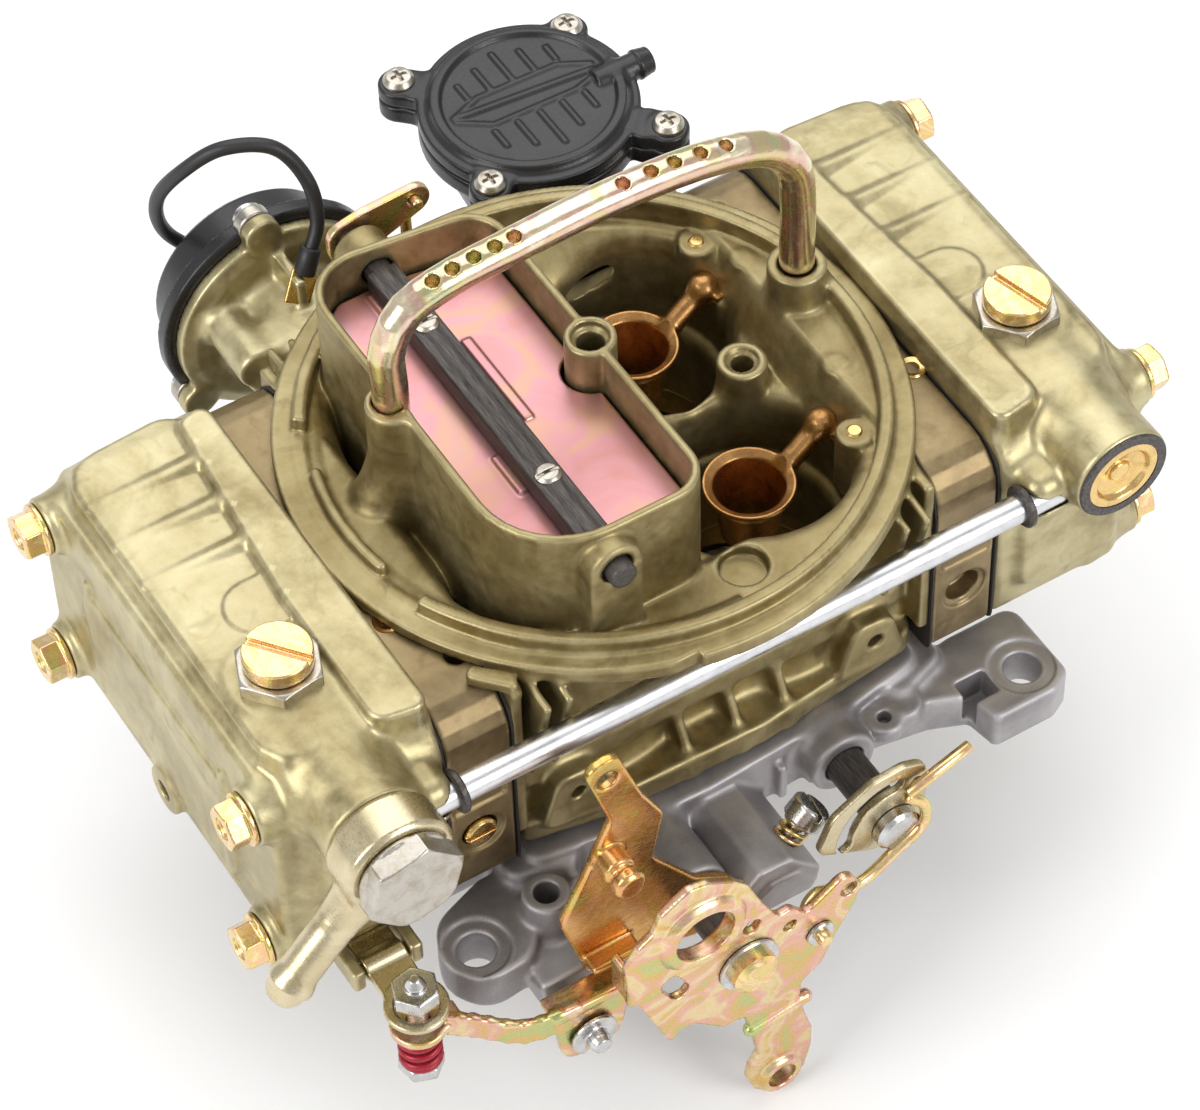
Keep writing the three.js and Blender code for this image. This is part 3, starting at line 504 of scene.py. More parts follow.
def circle(x, y, r, sides=40, start=0.0, sweep=360.0):
    count = sides if sweep == 360 else sides + 1
    angles = [math.radians(start + sweep * i / sides) for i in range(count)]
    return [(x + r * math.cos(a), y + r * math.sin(a)) for a in angles]


def arc_slot(x, y, radius, half, start, end, sides=14):
    outer = circle(x, y, radius + half, sides, start, end - start)
    inner = circle(x, y, radius - half, sides, end, start - end)
    tip = math.radians(end)
    foot = math.radians(start)
    nose = circle(x + radius * math.cos(tip), y + radius * math.sin(tip), half, 6, end, 180)
    tail = circle(x + radius * math.cos(foot), y + radius * math.sin(foot), half, 6, start + 180, 180)
    return outer + nose[1:-1] + inner + tail[1:-1]


# ---------------------------------------------------------------- meshes
def skin_of(depth, lo, hi, step):
    """Points and four-sided faces on the surface where depth is zero."""
    side = 6
    lo = np.array(lo, float) - 2 * step
    count = [int(math.ceil((h - l) / step + 3) / side) + 1 for l, h in zip(lo, hi)]
    middles = [l + (np.arange(n) * side + (side - 1) / 2) * step for l, n in zip(lo, count)]
    far = depth(*[g.astype(np.float32) for g in np.meshgrid(*middles, indexing="ij")])
    near = np.abs(far) < 1.25 * (math.sqrt(3) * (side - 1) / 2 * step + 1.8 * step)
    grid = np.repeat(np.repeat(np.repeat(np.sign(far) * 9, side, 0), side, 1), side, 2).astype(np.float32)
    blocks = np.argwhere(near)
    steps = np.arange(side)
    own = np.stack(np.meshgrid(steps, steps, steps, indexing="ij"), -1).reshape(-1, 3)
    for part in np.array_split(blocks, max(1, len(blocks) // 1500)):
        cells = (part[:, None, :] * side + own[None]).reshape(-1, 3)
        at = (lo + cells * step).astype(np.float32)
        grid[cells[:, 0], cells[:, 1], cells[:, 2]] = depth(at[:, 0], at[:, 1], at[:, 2])
    full = grid < 0
    corners = sum(
        full[i : full.shape[0] - 1 + i, j : full.shape[1] - 1 + j, k : full.shape[2] - 1 + k].astype(np.int8)
        for i in (0, 1) for j in (0, 1) for k in (0, 1)
    )
    mixed = (corners > 0) & (corners < 8)
    cells = np.argwhere(mixed)
    number = np.full(mixed.shape, -1, np.int32)
    number[mixed] = np.arange(len(cells))
    total = np.zeros((len(cells), 3))
    hits = np.zeros(len(cells))
    for way in range(3):
        others = [a for a in range(3) if a != way]
        for i in (0, 1):
            for j in (0, 1):
                start = np.zeros(3, int)
                start[others[0]], start[others[1]] = i, j
                end = start.copy()
                end[way] += 1
                a = grid[tuple((cells + start).T)]
                b = grid[tuple((cells + end).T)]
                cross = (a < 0) != (b < 0)
                share = a[cross] / (a[cross] - b[cross])
                spot = np.repeat(start[None].astype(float), cross.sum(), 0)
                spot[:, way] += share
                total[cross] += spot
                hits[cross] += 1
    points = lo + (cells + total / hits[:, None]) * step
    points = settled(depth, points, step)
    quads = []
    for way in range(3):
        a, b = [x for x in range(3) if x != way]
        below = np.take(full, range(full.shape[way] - 1), way)
        above = np.take(full, range(1, full.shape[way]), way)
        edges = np.argwhere(below != above)
        edges = edges[(edges[:, a] > 0) & (edges[:, b] > 0)]
        edges = edges[(edges[:, a] < mixed.shape[a]) & (edges[:, b] < mixed.shape[b])]
        around = []
        for i, j in ((-1, -1), (0, -1), (0, 0), (-1, 0)):
            cell = edges.copy()
            cell[:, a] += i
            cell[:, b] += j
            around.append(number[tuple(cell.T)])
        face = np.stack(around, 1)
        outward = below[tuple(edges.T)]
        if way == 1:
            outward = ~outward
        face[~outward] = face[~outward][:, ::-1]
        quads.append(face)
    return points, np.concatenate(quads)


def settled(depth, points, step):
    """Moves points onto the true surface, at most a third of a step each time."""
    reach = 0.12 * step
    ways = np.array([(1, -1, -1), (-1, -1, 1), (-1, 1, -1), (1, 1, 1)], float)
    for _ in range(2):
        slope = np.zeros_like(points)
        level = np.zeros(len(points))
        for way in ways:
            at = (points + way * reach).astype(np.float32)
            value = depth(at[:, 0], at[:, 1], at[:, 2])
            slope += value[:, None] * way
            level += value / 4
        slope /= 4 * reach
        size = np.maximum((slope**2).sum(1), 0.05)
        move = -slope * (level / size)[:, None]
        length = np.sqrt((move**2).sum(1))
        move *= np.minimum(1, step / 3 / np.maximum(length, 1e-9))[:, None]
        points = points + move
    return points


def piece(name, mesh, finish, body=BODY, slot=None, stands_for=()):
    """Shows a mesh as a named piece on a body, in place of the plain solids that it stands for."""
    made = bpy.data.objects.new(name, mesh)
    bpy.context.scene.collection.objects.link(made)
    mesh.materials.append(finishes[finish])
    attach(made, body)
    if stands_for:
        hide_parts(*stands_for)


def mesh_from(name, points, faces):
    mesh = bpy.data.meshes.new(name)
    mesh.vertices.add(len(points))
    mesh.vertices.foreach_set("co", (np.asarray(points, np.float64) * MM).astype(np.float32).ravel())
    faces = np.asarray(faces, np.int32)
    sides = faces.shape[1]
    mesh.loops.add(faces.size)
    mesh.loops.foreach_set("vertex_index", faces.ravel())
    mesh.polygons.add(len(faces))
    mesh.polygons.foreach_set("loop_start", np.arange(len(faces), dtype=np.int32) * sides)
    mesh.update(calc_edges=True)
    mesh.shade_smooth()
    return mesh


def casting(name, depth, lo, hi, step, finish, **facts):
    step = step * 1
    points, quads = skin_of(depth, lo, hi, step)
    piece(name, mesh_from(name, points, quads), finish, **facts)


def sheet_mesh(name, axis, at, thick, edge, holes=(), bevel=0.35):
    """Sheet metal of an outline with holes, its edges softly rounded; at is its middle along the axis."""
    curve = bpy.data.curves.new(name, "CURVE")
    curve.dimensions = "2D"
    curve.fill_mode = "BOTH"
    curve.extrude = (thick / 2 - bevel) * MM
    curve.bevel_depth = bevel * MM
    curve.bevel_resolution = 2
    curve.offset = -bevel * MM
    for loop in [edge, *holes]:
        spline = curve.splines.new("POLY")
        spline.points.add(len(loop) - 1)
        for point, (u, v) in zip(spline.points, loop):
            point.co = (u * MM, v * MM, 0, 1)
        spline.use_cyclic_u = True
    holder = bpy.data.objects.new(name, curve)
    mesh = bpy.data.meshes.new_from_object(holder)
    bpy.data.objects.remove(holder)
    bpy.data.curves.remove(curve)
    mesh.name = name
    turn = {
        "z": Matrix(((1, 0, 0, 0), (0, 1, 0, 0), (0, 0, 1, at * MM), (0, 0, 0, 1))),
        "y": Matrix(((1, 0, 0, 0), (0, 0, -1, at * MM), (0, 1, 0, 0), (0, 0, 0, 1))),
        "x": Matrix(((0, 0, 1, at * MM), (1, 0, 0, 0), (0, 1, 0, 0), (0, 0, 0, 1))),
    }[axis]
    mesh.transform(turn)
    tidy(mesh)
    return mesh


def tidy(mesh, angle=35):
    work = bmesh.new()
    work.from_mesh(mesh)
    bmesh.ops.remove_doubles(work, verts=work.verts, dist=1e-6)
    bmesh.ops.recalc_face_normals(work, faces=work.faces)
    work.to_mesh(mesh)
    work.free()
    mesh.shade_smooth()
    mesh.set_sharp_from_angle(angle=math.radians(angle))


def merged(name, *meshes):
    work = bmesh.new()
    for mesh in meshes:
        work.from_mesh(mesh)
        bpy.data.meshes.remove(mesh)
    whole = bpy.data.meshes.new(name)
    work.to_mesh(whole)
    work.free()
    whole.shade_smooth()
    whole.set_sharp_from_angle(angle=math.radians(35))
    return whole


def turned_mesh(name, axis, centre, profile, sides=40):
    """A lathe-turned piece from (radius, height) points that start and end on its axis."""
    angles = 2 * np.pi * np.arange(sides) / sides
    u, v, w = AXES[axis]
    points = []
    for r, h in profile:
        ring = np.zeros((sides, 3))
        ring[:, u] = centre[0] + r * np.cos(angles)
        ring[:, v] = centre[1] + r * np.sin(angles)
        ring[:, w] = h
        points.append(ring)
    points = np.concatenate(points)
    faces = []
    for i in range(len(profile) - 1):
        for j in range(sides):
            k = (j + 1) % sides
            faces.append((i * sides + j, i * sides + k, (i + 1) * sides + k, (i + 1) * sides + j))
    mesh = mesh_from(name, points, faces)
    tidy(mesh)
    return mesh


def smooth_way(points, steps):
    """Evenly shared places on a smooth curve through points."""
    points = np.array(points, float)
    ends = np.vstack([2 * points[0] - points[1], points, 2 * points[-1] - points[-2]])
    gaps = np.sqrt(np.linalg.norm(np.diff(ends, axis=0), axis=1))
    times = np.concatenate([[0], np.cumsum(gaps)])
    out = []
    for t in np.linspace(times[1], times[-2], steps + 1):
        i = min(max(np.searchsorted(times, t, "right") - 1, 1), len(points) - 1)
        p, s = ends[i - 1 : i + 3], times[i - 1 : i + 3]
        a = [(p[j] * (s[j + 1] - t) + p[j + 1] * (t - s[j])) / (s[j + 1] - s[j]) for j in range(3)]
        b = [(a[j] * (s[j + 2] - t) + a[j + 1] * (t - s[j])) / (s[j + 2] - s[j]) for j in range(2)]
        out.append((b[0] * (s[2] - t) + b[1] * (t - s[1])) / (s[2] - s[1]))
    return np.array(out)


def rod_mesh(name, way, radius, sides=16, nose=0.3):
    """A round rod along places, with its two ends chamfered by nose and closed."""
    way = np.array(way, float)
    heads = np.gradient(way, axis=0)
    heads /= np.linalg.norm(heads, axis=1)[:, None]
    side = np.cross(heads[0], (0.31, 0.52, 0.79))
    side /= np.linalg.norm(side)
    places, radii, sideways = [], [], []
    for i, (at, head) in enumerate(zip(way, heads)):
        side = side - head * side.dot(head)
        side /= np.linalg.norm(side)
        if i == 0:
            places += [at, at]
            radii += [0.0, radius - nose]
            sideways += [(side, head)] * 2
            at = at + head * nose
        if i == len(way) - 1:
            at = at - head * nose
        places.append(at)
        radii.append(radius)
        sideways.append((side, head))
        if i == len(way) - 1:
            places += [way[-1], way[-1]]
            radii += [radius - nose, 0.0]
            sideways += [(side, head)] * 2
    angles = 2 * np.pi * np.arange(sides) / sides
    points = []
    for at, r, (side, head) in zip(places, radii, sideways):
        other = np.cross(head, side)
        points.append(at + r * (np.cos(angles)[:, None] * side + np.sin(angles)[:, None] * other))
    faces = []
    for i in range(len(places) - 1):
        for j in range(sides):
            k = (j + 1) % sides
            faces.append((i * sides + j, i * sides + k, (i + 1) * sides + k, (i + 1) * sides + j))
    mesh = mesh_from(name, np.concatenate(points), faces)
    tidy(mesh, 50)
    return mesh


def spring_mesh(name, start, end, radius, wire, turns, sides=8):
    """A coil spring between two points, with closed ends."""
    start, end = np.array(start, float), np.array(end, float)
    head = (end - start) / np.linalg.norm(end - start)
    side = np.cross(head, (0.31, 0.52, 0.79))
    side /= np.linalg.norm(side)
    other = np.cross(head, side)
    share = np.linspace(0, 1, int(turns * 22) + 1)
    angle = share * turns * 2 * np.pi
    rise = np.clip((share * turns - 0.9) / (turns - 1.8), 0, 1)
    places = start + np.outer(rise, end - start)
    places += radius * (np.outer(np.cos(angle), side) + np.outer(np.sin(angle), other))
    return rod_mesh(name, places, wire, sides, 0.1)


# ---------------------------------------------------------------- places shared with the solids
BORE = (23.5, 23.8, 21.45)
VENTURI = (25, 24)
SHAFT_X, SHAFT_Z = 23.5, 9
SCREW_Y = 45.8
SCREW_Z = (22.4, 65.8)
VALVE = (92.5, -27)
INLET = (92, 68)
PRIMARY_INLET = (-92, 68)
VENT_Y = 7.5
STUD = (0, 0)
CHOKE = (-25.5, 96)
COLD = (-35, 58)
DIAPHRAGM = (40, 93.5, 75)
PUMP_PIN = (-57, -3)
PUMP_BOLT = (-90, -72)
TRANSFER = (-61.5, 63)
SHAFT_R = 4.7
STUD_PATTERN = (71.45, 65.5)
IDLE = Vector((-5, -76, 3))
IDLE_WAY = Vector((1, 0, 1)).normalized()
ENDS = (("primary", -1), ("secondary", 1))


def tower_outline(inset=0.0):
    return rounded([
        (-44.8 + inset, -48 + inset, 21 - inset), (1.3 - inset, -48 + inset, 9 - inset),
        (1.3 - inset, 45.5 - inset, 10 - inset), (-44.8 + inset, 51 - inset, 13 - inset),
    ], 8)


# ---------------------------------------------------------------- throttle body
def throttle_casting():
    edge = rounded([
        (-51, -56, 4), (-30, -59, 5), (-8, -60, 4), (30, -58, 5), (51, -54, 5), (51, 54, 5), (-51, 54, 5),
    ])
    deck = plate("z", edge, 0, 16, 1.1)
    rear_ear = rounded([
        (44, -52, 3), (62, -49.5, 4), (79.7, -49.5, 4), (79.7, -72, 3), (74, -75, 3), (58, -75, 2),
        (56.5, -66.5, 1.5), (48, -63, 3), (30, -60, 4), (30, -50, 3),
    ])
    front_ear = rounded([(-44, -50, 3), (-62, -50, 6), (-76, -55, 9), (-80, -66, 9), (-74, -75, 8),
            (-62, -74, 7), (-55, -66, 4), (-44, -62, 4),])
    ears = [plate("z", rear_ear, 0, 11, 1.2), plate("z", front_ear, 0, 11, 1.2)]
    for sx in (-1, 1):
        far_ear = rounded([(sx * a, b, r) for a, b, r in (
            (44, 47, 3), (64, 47, 5), (79.5, 54, 8), (79.5, 74, 9), (62, 74, 9), (48, 60, 5))])
        ears.append(plate("z", far_ear, 0, 11, 1.2))
    shoulder = [plate("z", rounded([(a, b, 4) for a, b in corners]), 0, 14, 1.5) for corners in (
        ((40, -61), (57, -55), (57, -40), (40, -40)), ((-40, -61), (-57, -56), (-57, -40), (-40, -40)))]
    bosses = []
    for sx, end in ((-1, -78), (1, -65.9)):
        bosses.append(drum("y", (sx * SHAFT_X, SHAFT_Z), 7.4, -58, 66, 0.8))
        bosses.append(drum("y", (sx * SHAFT_X, SHAFT_Z), 8.2, end, -50, 1.0))
        bosses.append(drum("y", (sx * SHAFT_X, SHAFT_Z), 9.6, 56, 64, 1.0))
    body = join(deck, *ears, *shoulder, *bosses, k=3.0)
    stop = plate("y", rounded([(-14, -1, 1), (3, -1, 1), (5.6, 4.6, 1), (-2, 13, 1.2), (-10, 13.5, 2),
                (-14.2, 9, 2)]), -84, -57, 0.9)
    seat = plate("y", rounded([(-12, 0, 1), (2.4, 0, 1), (4.4, 3.6, 1), (-0.6, 8.6, 1.4), (-8, 9, 1.4),
                (-12, 6, 1.4)]), -85, -78, 0.8)
    lug = plate("y", rounded([(-62, -7, 4), (-52.5, -7, 4), (-50, 7, 2), (-64, 7, 2)]), -80, -57, 1.0)
    pads = [plate("z", circle(36.6, -61.8, 4.6, 24), 8, 12.6, 1.0),
        plate("z", circle(42.5, -60.6, 4.2, 24), 8, 12.6, 1.0),
        drum("z", (-53.3, -65.1), 6.2, 2, 17.5, 0.8, 5.4), brick((-70, -45, 0), (-48, -10, 9), 2.0),
        brick((-66, 8, 0), (-48, 42, 8), 2.0), brick((48, -34, 0), (66, 36, 9), 2.5),
        drum("x", (0, 8), 7.2, 62, 72, 1.0),]
    body = join(body, stop, lug, *pads, k=2.0)
    body = join(body, seat, k=0.8)
    ribs = [brick((x - 1.1, -62, 1.5), (x + 1.1, -56, 12.5), 0.8) for x in (-44, -36, 10, 18)]
    body = join(body, *ribs, k=2.0)
    cuts = []
    for sx in (-1, 1):
        cuts.append(drum("y", (sx * SHAFT_X, SHAFT_Z), 4.95, -95, 80, 0.1))
        for sy in (-1, 1):
            cuts.append(drum("z", (sx * BORE[0], sy * BORE[1]), BORE[2], -2, 20, 0.1))
            cuts.append(drum("z", (sx * STUD_PATTERN[0], sy * STUD_PATTERN[1]), 4.4, -2, 20, 0.1))
            cuts.append(drum("z", (sx * STUD_PATTERN[0], sy * STUD_PATTERN[1]), 7.6, 10.4, 14, 0.2))
    start, end = IDLE - IDLE_WAY * 30, IDLE + IDLE_WAY * 30
    cuts.append(rail([tuple(start), tuple(end)], 2.6))
    cuts.append(drum("z", (-53.3, -65.1), 2.9, 6, 22, 0.2))
    cuts.append(drum("z", (36.6, -61.8), 1.6, 9, 14, 0.2))
    cuts.append(brick((55.5, -68.5, 3), (63.5, -61.5, 14), 0.8))
    cuts.append(drum("y", PUMP_PIN, 2.8, -90, -60, 0.1))
    cuts.append(drum("x", (0, 8), 4.2, 60, 80, 0.2))
    for x, y in ((-46, 0), (46, 0), (0, 46), (0, -46), (-46, -48), (46, 48), (-46, 48), (46, -48)):
        cuts.append(drum("z", (x, y), 2.4, -2, 4, 0.2))
    return carve(body, *cuts, k=0.5)


# ---------------------------------------------------------------- main body
def horn_floor(x, y, z):
    """How far a place is above the floor inside the air horn."""
    out = np.sqrt(x * x + y * y)

    def ease(value, low, high):
        share = np.clip((value - low) / (high - low), 0, 1)
        return share * share * (3 - 2 * share)

    west = 66 + 11.4 * ease(out, 47, 61.5)
    shelf = 66 + 8.6 * ease(-y, 22, 43) * ease(out, 38, 47)
    east = 66.5 + 8 * ease(out, 49, 59)
    east = east - 3 * ease(x, 20, 40) * (1 - ease(np.abs(y), 4, 12)) * (1 - ease(out, 46, 54))
    edge = 66 + 10.6 * ease(np.abs(x), 45, 52.6)
    floor = np.maximum(np.maximum(np.where(x < 1, west, east), shelf), edge)
    return floor - z


def air_horn():
    flange = turned("z", STUD, [(0, 58), (49, 58), (64.4, 72.9), (69.4, 73.7), (69.4, 76.6), (0, 76.6)], 0.6)
    lip = turned("z", STUD, [(62.3, 72), (64.5, 72), (64.5, 80.4), (62.3, 80.4)], 0.6)
    gap = plate("z", [(0, 0), (-90, 50), (-90, -40)], 77.2, 90, 0.1)
    lip = carve(lip, gap)
    near_lug = plate("z", rounded([(-55.5, -29.4, 0.5), (-49, -27.5, 1), (-42, -38, 4), (-40, -50, 4),
                (-46, -46, 6), (-51, -40, 6)]), 70, 80.6, 0.7)
    far_lug = plate("z", rounded([(-55.5, 30, 0.8), (-49.5, 28, 0.8), (-46, 38, 1), (-40, 50, 3),
                (-49, 43, 4)]), 70, 80.6, 0.7)
    crescent = plate("z", arc_slot(0, 0, 61.6, 1.25, 164, 192, 16), 70, 80, 0.8)
    notch_tab = plate("z", rounded([(-57, -44, 1), (-50, -51, 2), (-52, -55, 1), (-60, -46, 2)]), 73,
        77.2, 0.7)
    horn = join(flange, lip, near_lug, far_lug, notch_tab, k=1.2)
    bowl = common(drum("z", STUD, 61.7, 40, 100, 0.2), lambda x, y, z: horn_floor(x, y, z) * 0.72)
    return horn, bowl, crescent


def tower_walls():
    walls = plate("z", tower_outline(), 60, 103.7, 0.75)
    arch = join(
        drum("y", (CHOKE[0], CHOKE[1] - 0.4), 6.3, -52.2, -45, 0.9),
        brick((CHOKE[0] - 6.3, -52.2, 62), (CHOKE[0] + 6.3, -45, CHOKE[1]), 0.9), k=0.5)
    hump = drum("y", (CHOKE[0], CHOKE[1] - 0.4), 6.4, 46, 56, 0.9)
    hump_foot = brick((CHOKE[0] - 6, 47, 70), (CHOKE[0] + 6, 53.5, CHOKE[1]), 2)
    socket = drum("z", (-44.6, 6.6), 6.1, 62, 103.5, 0.7)
    elbow = rail([(-45, 6.6, 83), (-53.5, 6.4, 67)], 6.3, 7.2)
    walls = join(walls, arch, hump, hump_foot, k=1.2)
    walls = join(walls, socket, elbow, k=2.5)
    throat = plate("z", tower_outline(1.9), 40, 110, 0.2)
    return walls, throat


def main_casting():
    core = plate("z", rectangle(-53.2, -47, 53.2, 47, 4), 17.6, 72, 1.0)
    foot_edge = rounded([
        (-51, -52, 3), (-30, -56, 4), (8, -57, 4), (51, -52, 4), (51, 52, 4), (-51, 52, 4)])
    foot = plate("z", foot_edge, 17.6, 24.5, 1.2)
    belly = [drum("z", (sx * 25, sy * 26), 23.5, 19, 60, 2, 21.5) for sx in (-1, 1) for sy in (-1, 1)]
    upper = plate("z", rectangle(-52, -50, 52, 50, 6), 33, 40, 1.5)
    horn, bowl, crescent = air_horn()
    body = join(core, foot, upper, *belly, k=4.0)
    pockets = [
        brick((-50, -70, 44), (-33, -47, 70), 2), brick((30, -70, 44), (50, -47, 70), 2),
        brick((-28, -70, 44), (24, -50.5, 66), 2),
    ]
    body = carve(body, *pockets, k=2.0)
    body = join(body, horn, k=2.5)
    sides = []
    for sy in (-1, 1):
        for x in (-10, 3, 15.5):
            sides.append(plate("x", [(sy * 46, 18), (sy * 56, 18), (sy * 55.2, 23), (sy * 50, 33),
                        (sy * 46, 34)], x - 1.1, x + 1.1, 0.7))
        for sx in (-1, 1):
            diamond = rounded([(sx * 38 - 10, 22, 3), (sx * 38 + 9, 22, 3), (sx * 38 + 5, 37, 4),
                    (sx * 38 - 5, 38, 4)])
            sides.append(plate("y", diamond, min(sy * 46, sy * 55), max(sy * 46, sy * 55), 1.0))
            for x in (47.5, 42.2):
                sides.append(plate("x", [(sy * 44, 40), (sy * 52.5, 42), (sy * 60, 72), (sy * 44, 74)],
                        sx * x - 0.9, sx * x + 0.9, 0.7))
            sides.append(plate("x", [(sy * 44, 26), (sy * 54, 26), (sy * 54, 74), (sy * 44, 74)],
                    min(sx * 50.6, sx * 53.2), max(sx * 50.6, sx * 53.2), 0.6))
        sides.append(plate("z", rounded([(-20, sy * 46, 2), (-20, sy * 58, 6), (12, sy * 60, 6),
                        (14, sy * 46, 2)]), 63, 74, 1.5))
    sides.append(drum("y", (-14, 60), 6.5, -58, -44, 1.2))
    body = join(body, *sides, k=2.2)
    block_room = [brick((sx * 72 - 18.8, -90, 0), (sx * 72 + 18.8, 90, 74.4), 0.3) for sx in (-1, 1)]
    body = carve(body, *block_room)
    body = carve(body, bowl, k=1.5)
    inner = []
    for sx in (-1, 1):
        for sy in (-1, 1):
            inner.append(drum("z", (sx * VENTURI[0], sy * VENTURI[1]), 19, 10, 80, 0.1))
            inner.append(drum("z", (sx * VENTURI[0], sy * VENTURI[1]), 21.2, 50, 76, 0.2, 22.4))
    body = carve(body, *inner, k=5.0)
    walls, throat = tower_walls()
    body = join(body, walls, k=1.6)
    primary = [drum("z", (-VENTURI[0], sy * VENTURI[1]), 19, 10, 70, 0.1) for sy in (-1, 1)]
    body = carve(body, common(throat, brick((-60, -60, 64.5), (20, 60, 120), 0.3)), *primary, k=0.8)
    body = join(body, drum("z", STUD, 5.75, 60, 103.7, 0.6), k=0.8)
    posts = [
        drum("z", (38.5, 0), 5.7, 56, 72.5, 0.7), drum("z", (57.6, VENT_Y), 6.7, 66, 86, 0.8),
        drum("z", (47.8, 33.4), 4.2, 58, 75, 0.6), drum("z", (46.5, -32.5), 4.2, 58, 75, 0.6),
        drum("z", (53, 22.5), 2.6, 58, 76, 0.5), drum("z", (53, -15), 2.6, 58, 76, 0.5),
        brick((46, 21, 56), (60, 31, 66), 1.2), brick((46, -28, 56), (60, -16, 66), 1.2),
    ]
    body = join(body, *posts, k=1.8)
    body = join(body, crescent, k=0.8)
    pads = [brick((-50, 46, 44), (-20, 54, 71), 1.2), brick((24, 46, 30), (50, 60, 48), 1.5)]
    body = join(body, *pads, k=2.0)
    holes = [
        drum("z", STUD, 3.1, 84, 120, 0.1), drum("z", STUD, 4.2, 101.6, 120, 0.1),
        drum("z", (38.5, 0), 2.5, 62, 90, 0.1), drum("z", (38.5, 0), 3.7, 71.4, 90, 0.1),
        drum("y", CHOKE, 3.7, -60, 60, 0.1),
        drum("z", (-44.6, VENT_Y), 4.3, 88, 120, 0.1), drum("z", (57.6, VENT_Y), 4.3, 75, 120, 0.1),
        drum("z", (6.3, -44.6 - 6), 5.4, 71.5, 90, 0.3),
        brick((-24.5, 57, 60), (-7.2, 64.4, 90), 0.6),
    ]
    for sx, sy in ((-1, -1), (1, -1), (-1, 1), (1, 1)):
        holes.append(drum("y", (sx * 38.4, 31), 1.9, min(sy * 48, sy * 60), max(sy * 48, sy * 60), 0.1))
    for sx in (-1, 1):
        for sy in (-1, 1):
            holes.append(drum("z", (sx * BORE[0], sy * BORE[1]), BORE[2], 10, 27, 0.1))
    holes.append(brick((-27, -80, 72), (-15, -66.8, 79), 0.4))
    return carve(body, *holes, k=0.35)


casting("throttle_casting", throttle_casting(), (-82, -88, -8), (82, 78, 21), 0.62, "gray_cast",
        slot="gray_cast", stands_for=["throttle_body"])
casting("main_casting", main_casting(), (-71, -71, 16.5), (71, 71, 105), 0.72, "body_cast",
        slot="gold_cast", stands_for=["main_body"])


# ---------------------------------------------------------------- metering blocks and bowls
def sided(sx, near, far):
    return sorted((sx * near, sx * far))


def metering_block(sx):
    lo, hi = sided(sx, 53.9, 69.7)
    edge = rounded([(-54.5, 17, 3), (54.5, 17, 3), (54.5, 74, 11), (-54.5, 74, 11)])
    body = plate("x", edge, lo, hi, 1.0)
    tools = []
    for sy in (-1, 1):
        y = sided(sy, 49, 60)
        tools.append(drum("y", (sx * 62.3, 33.4), 4.3, *y, 0.4))
        tools.append(drum("y", (sx * 62.3, 33.4), 5.6, *sided(sy, 53.6, 60), 0.4))
        tools.append(brick((sx * 62.3 - 6.6, min(sy * 53.7, sy * 60), 43),
                (sx * 62.3 + 6.6, max(sy * 53.7, sy * 60), 55), 1.0))
    if sx < 0:
        tools.append(drum("z", (-57, -38), 2.6, 66, 80, 0.3))
    else:
        tools.append(drum("z", (57.5, 40), 2.4, 70, 80, 0.3))
    return carve(body, *tools, k=0.5)


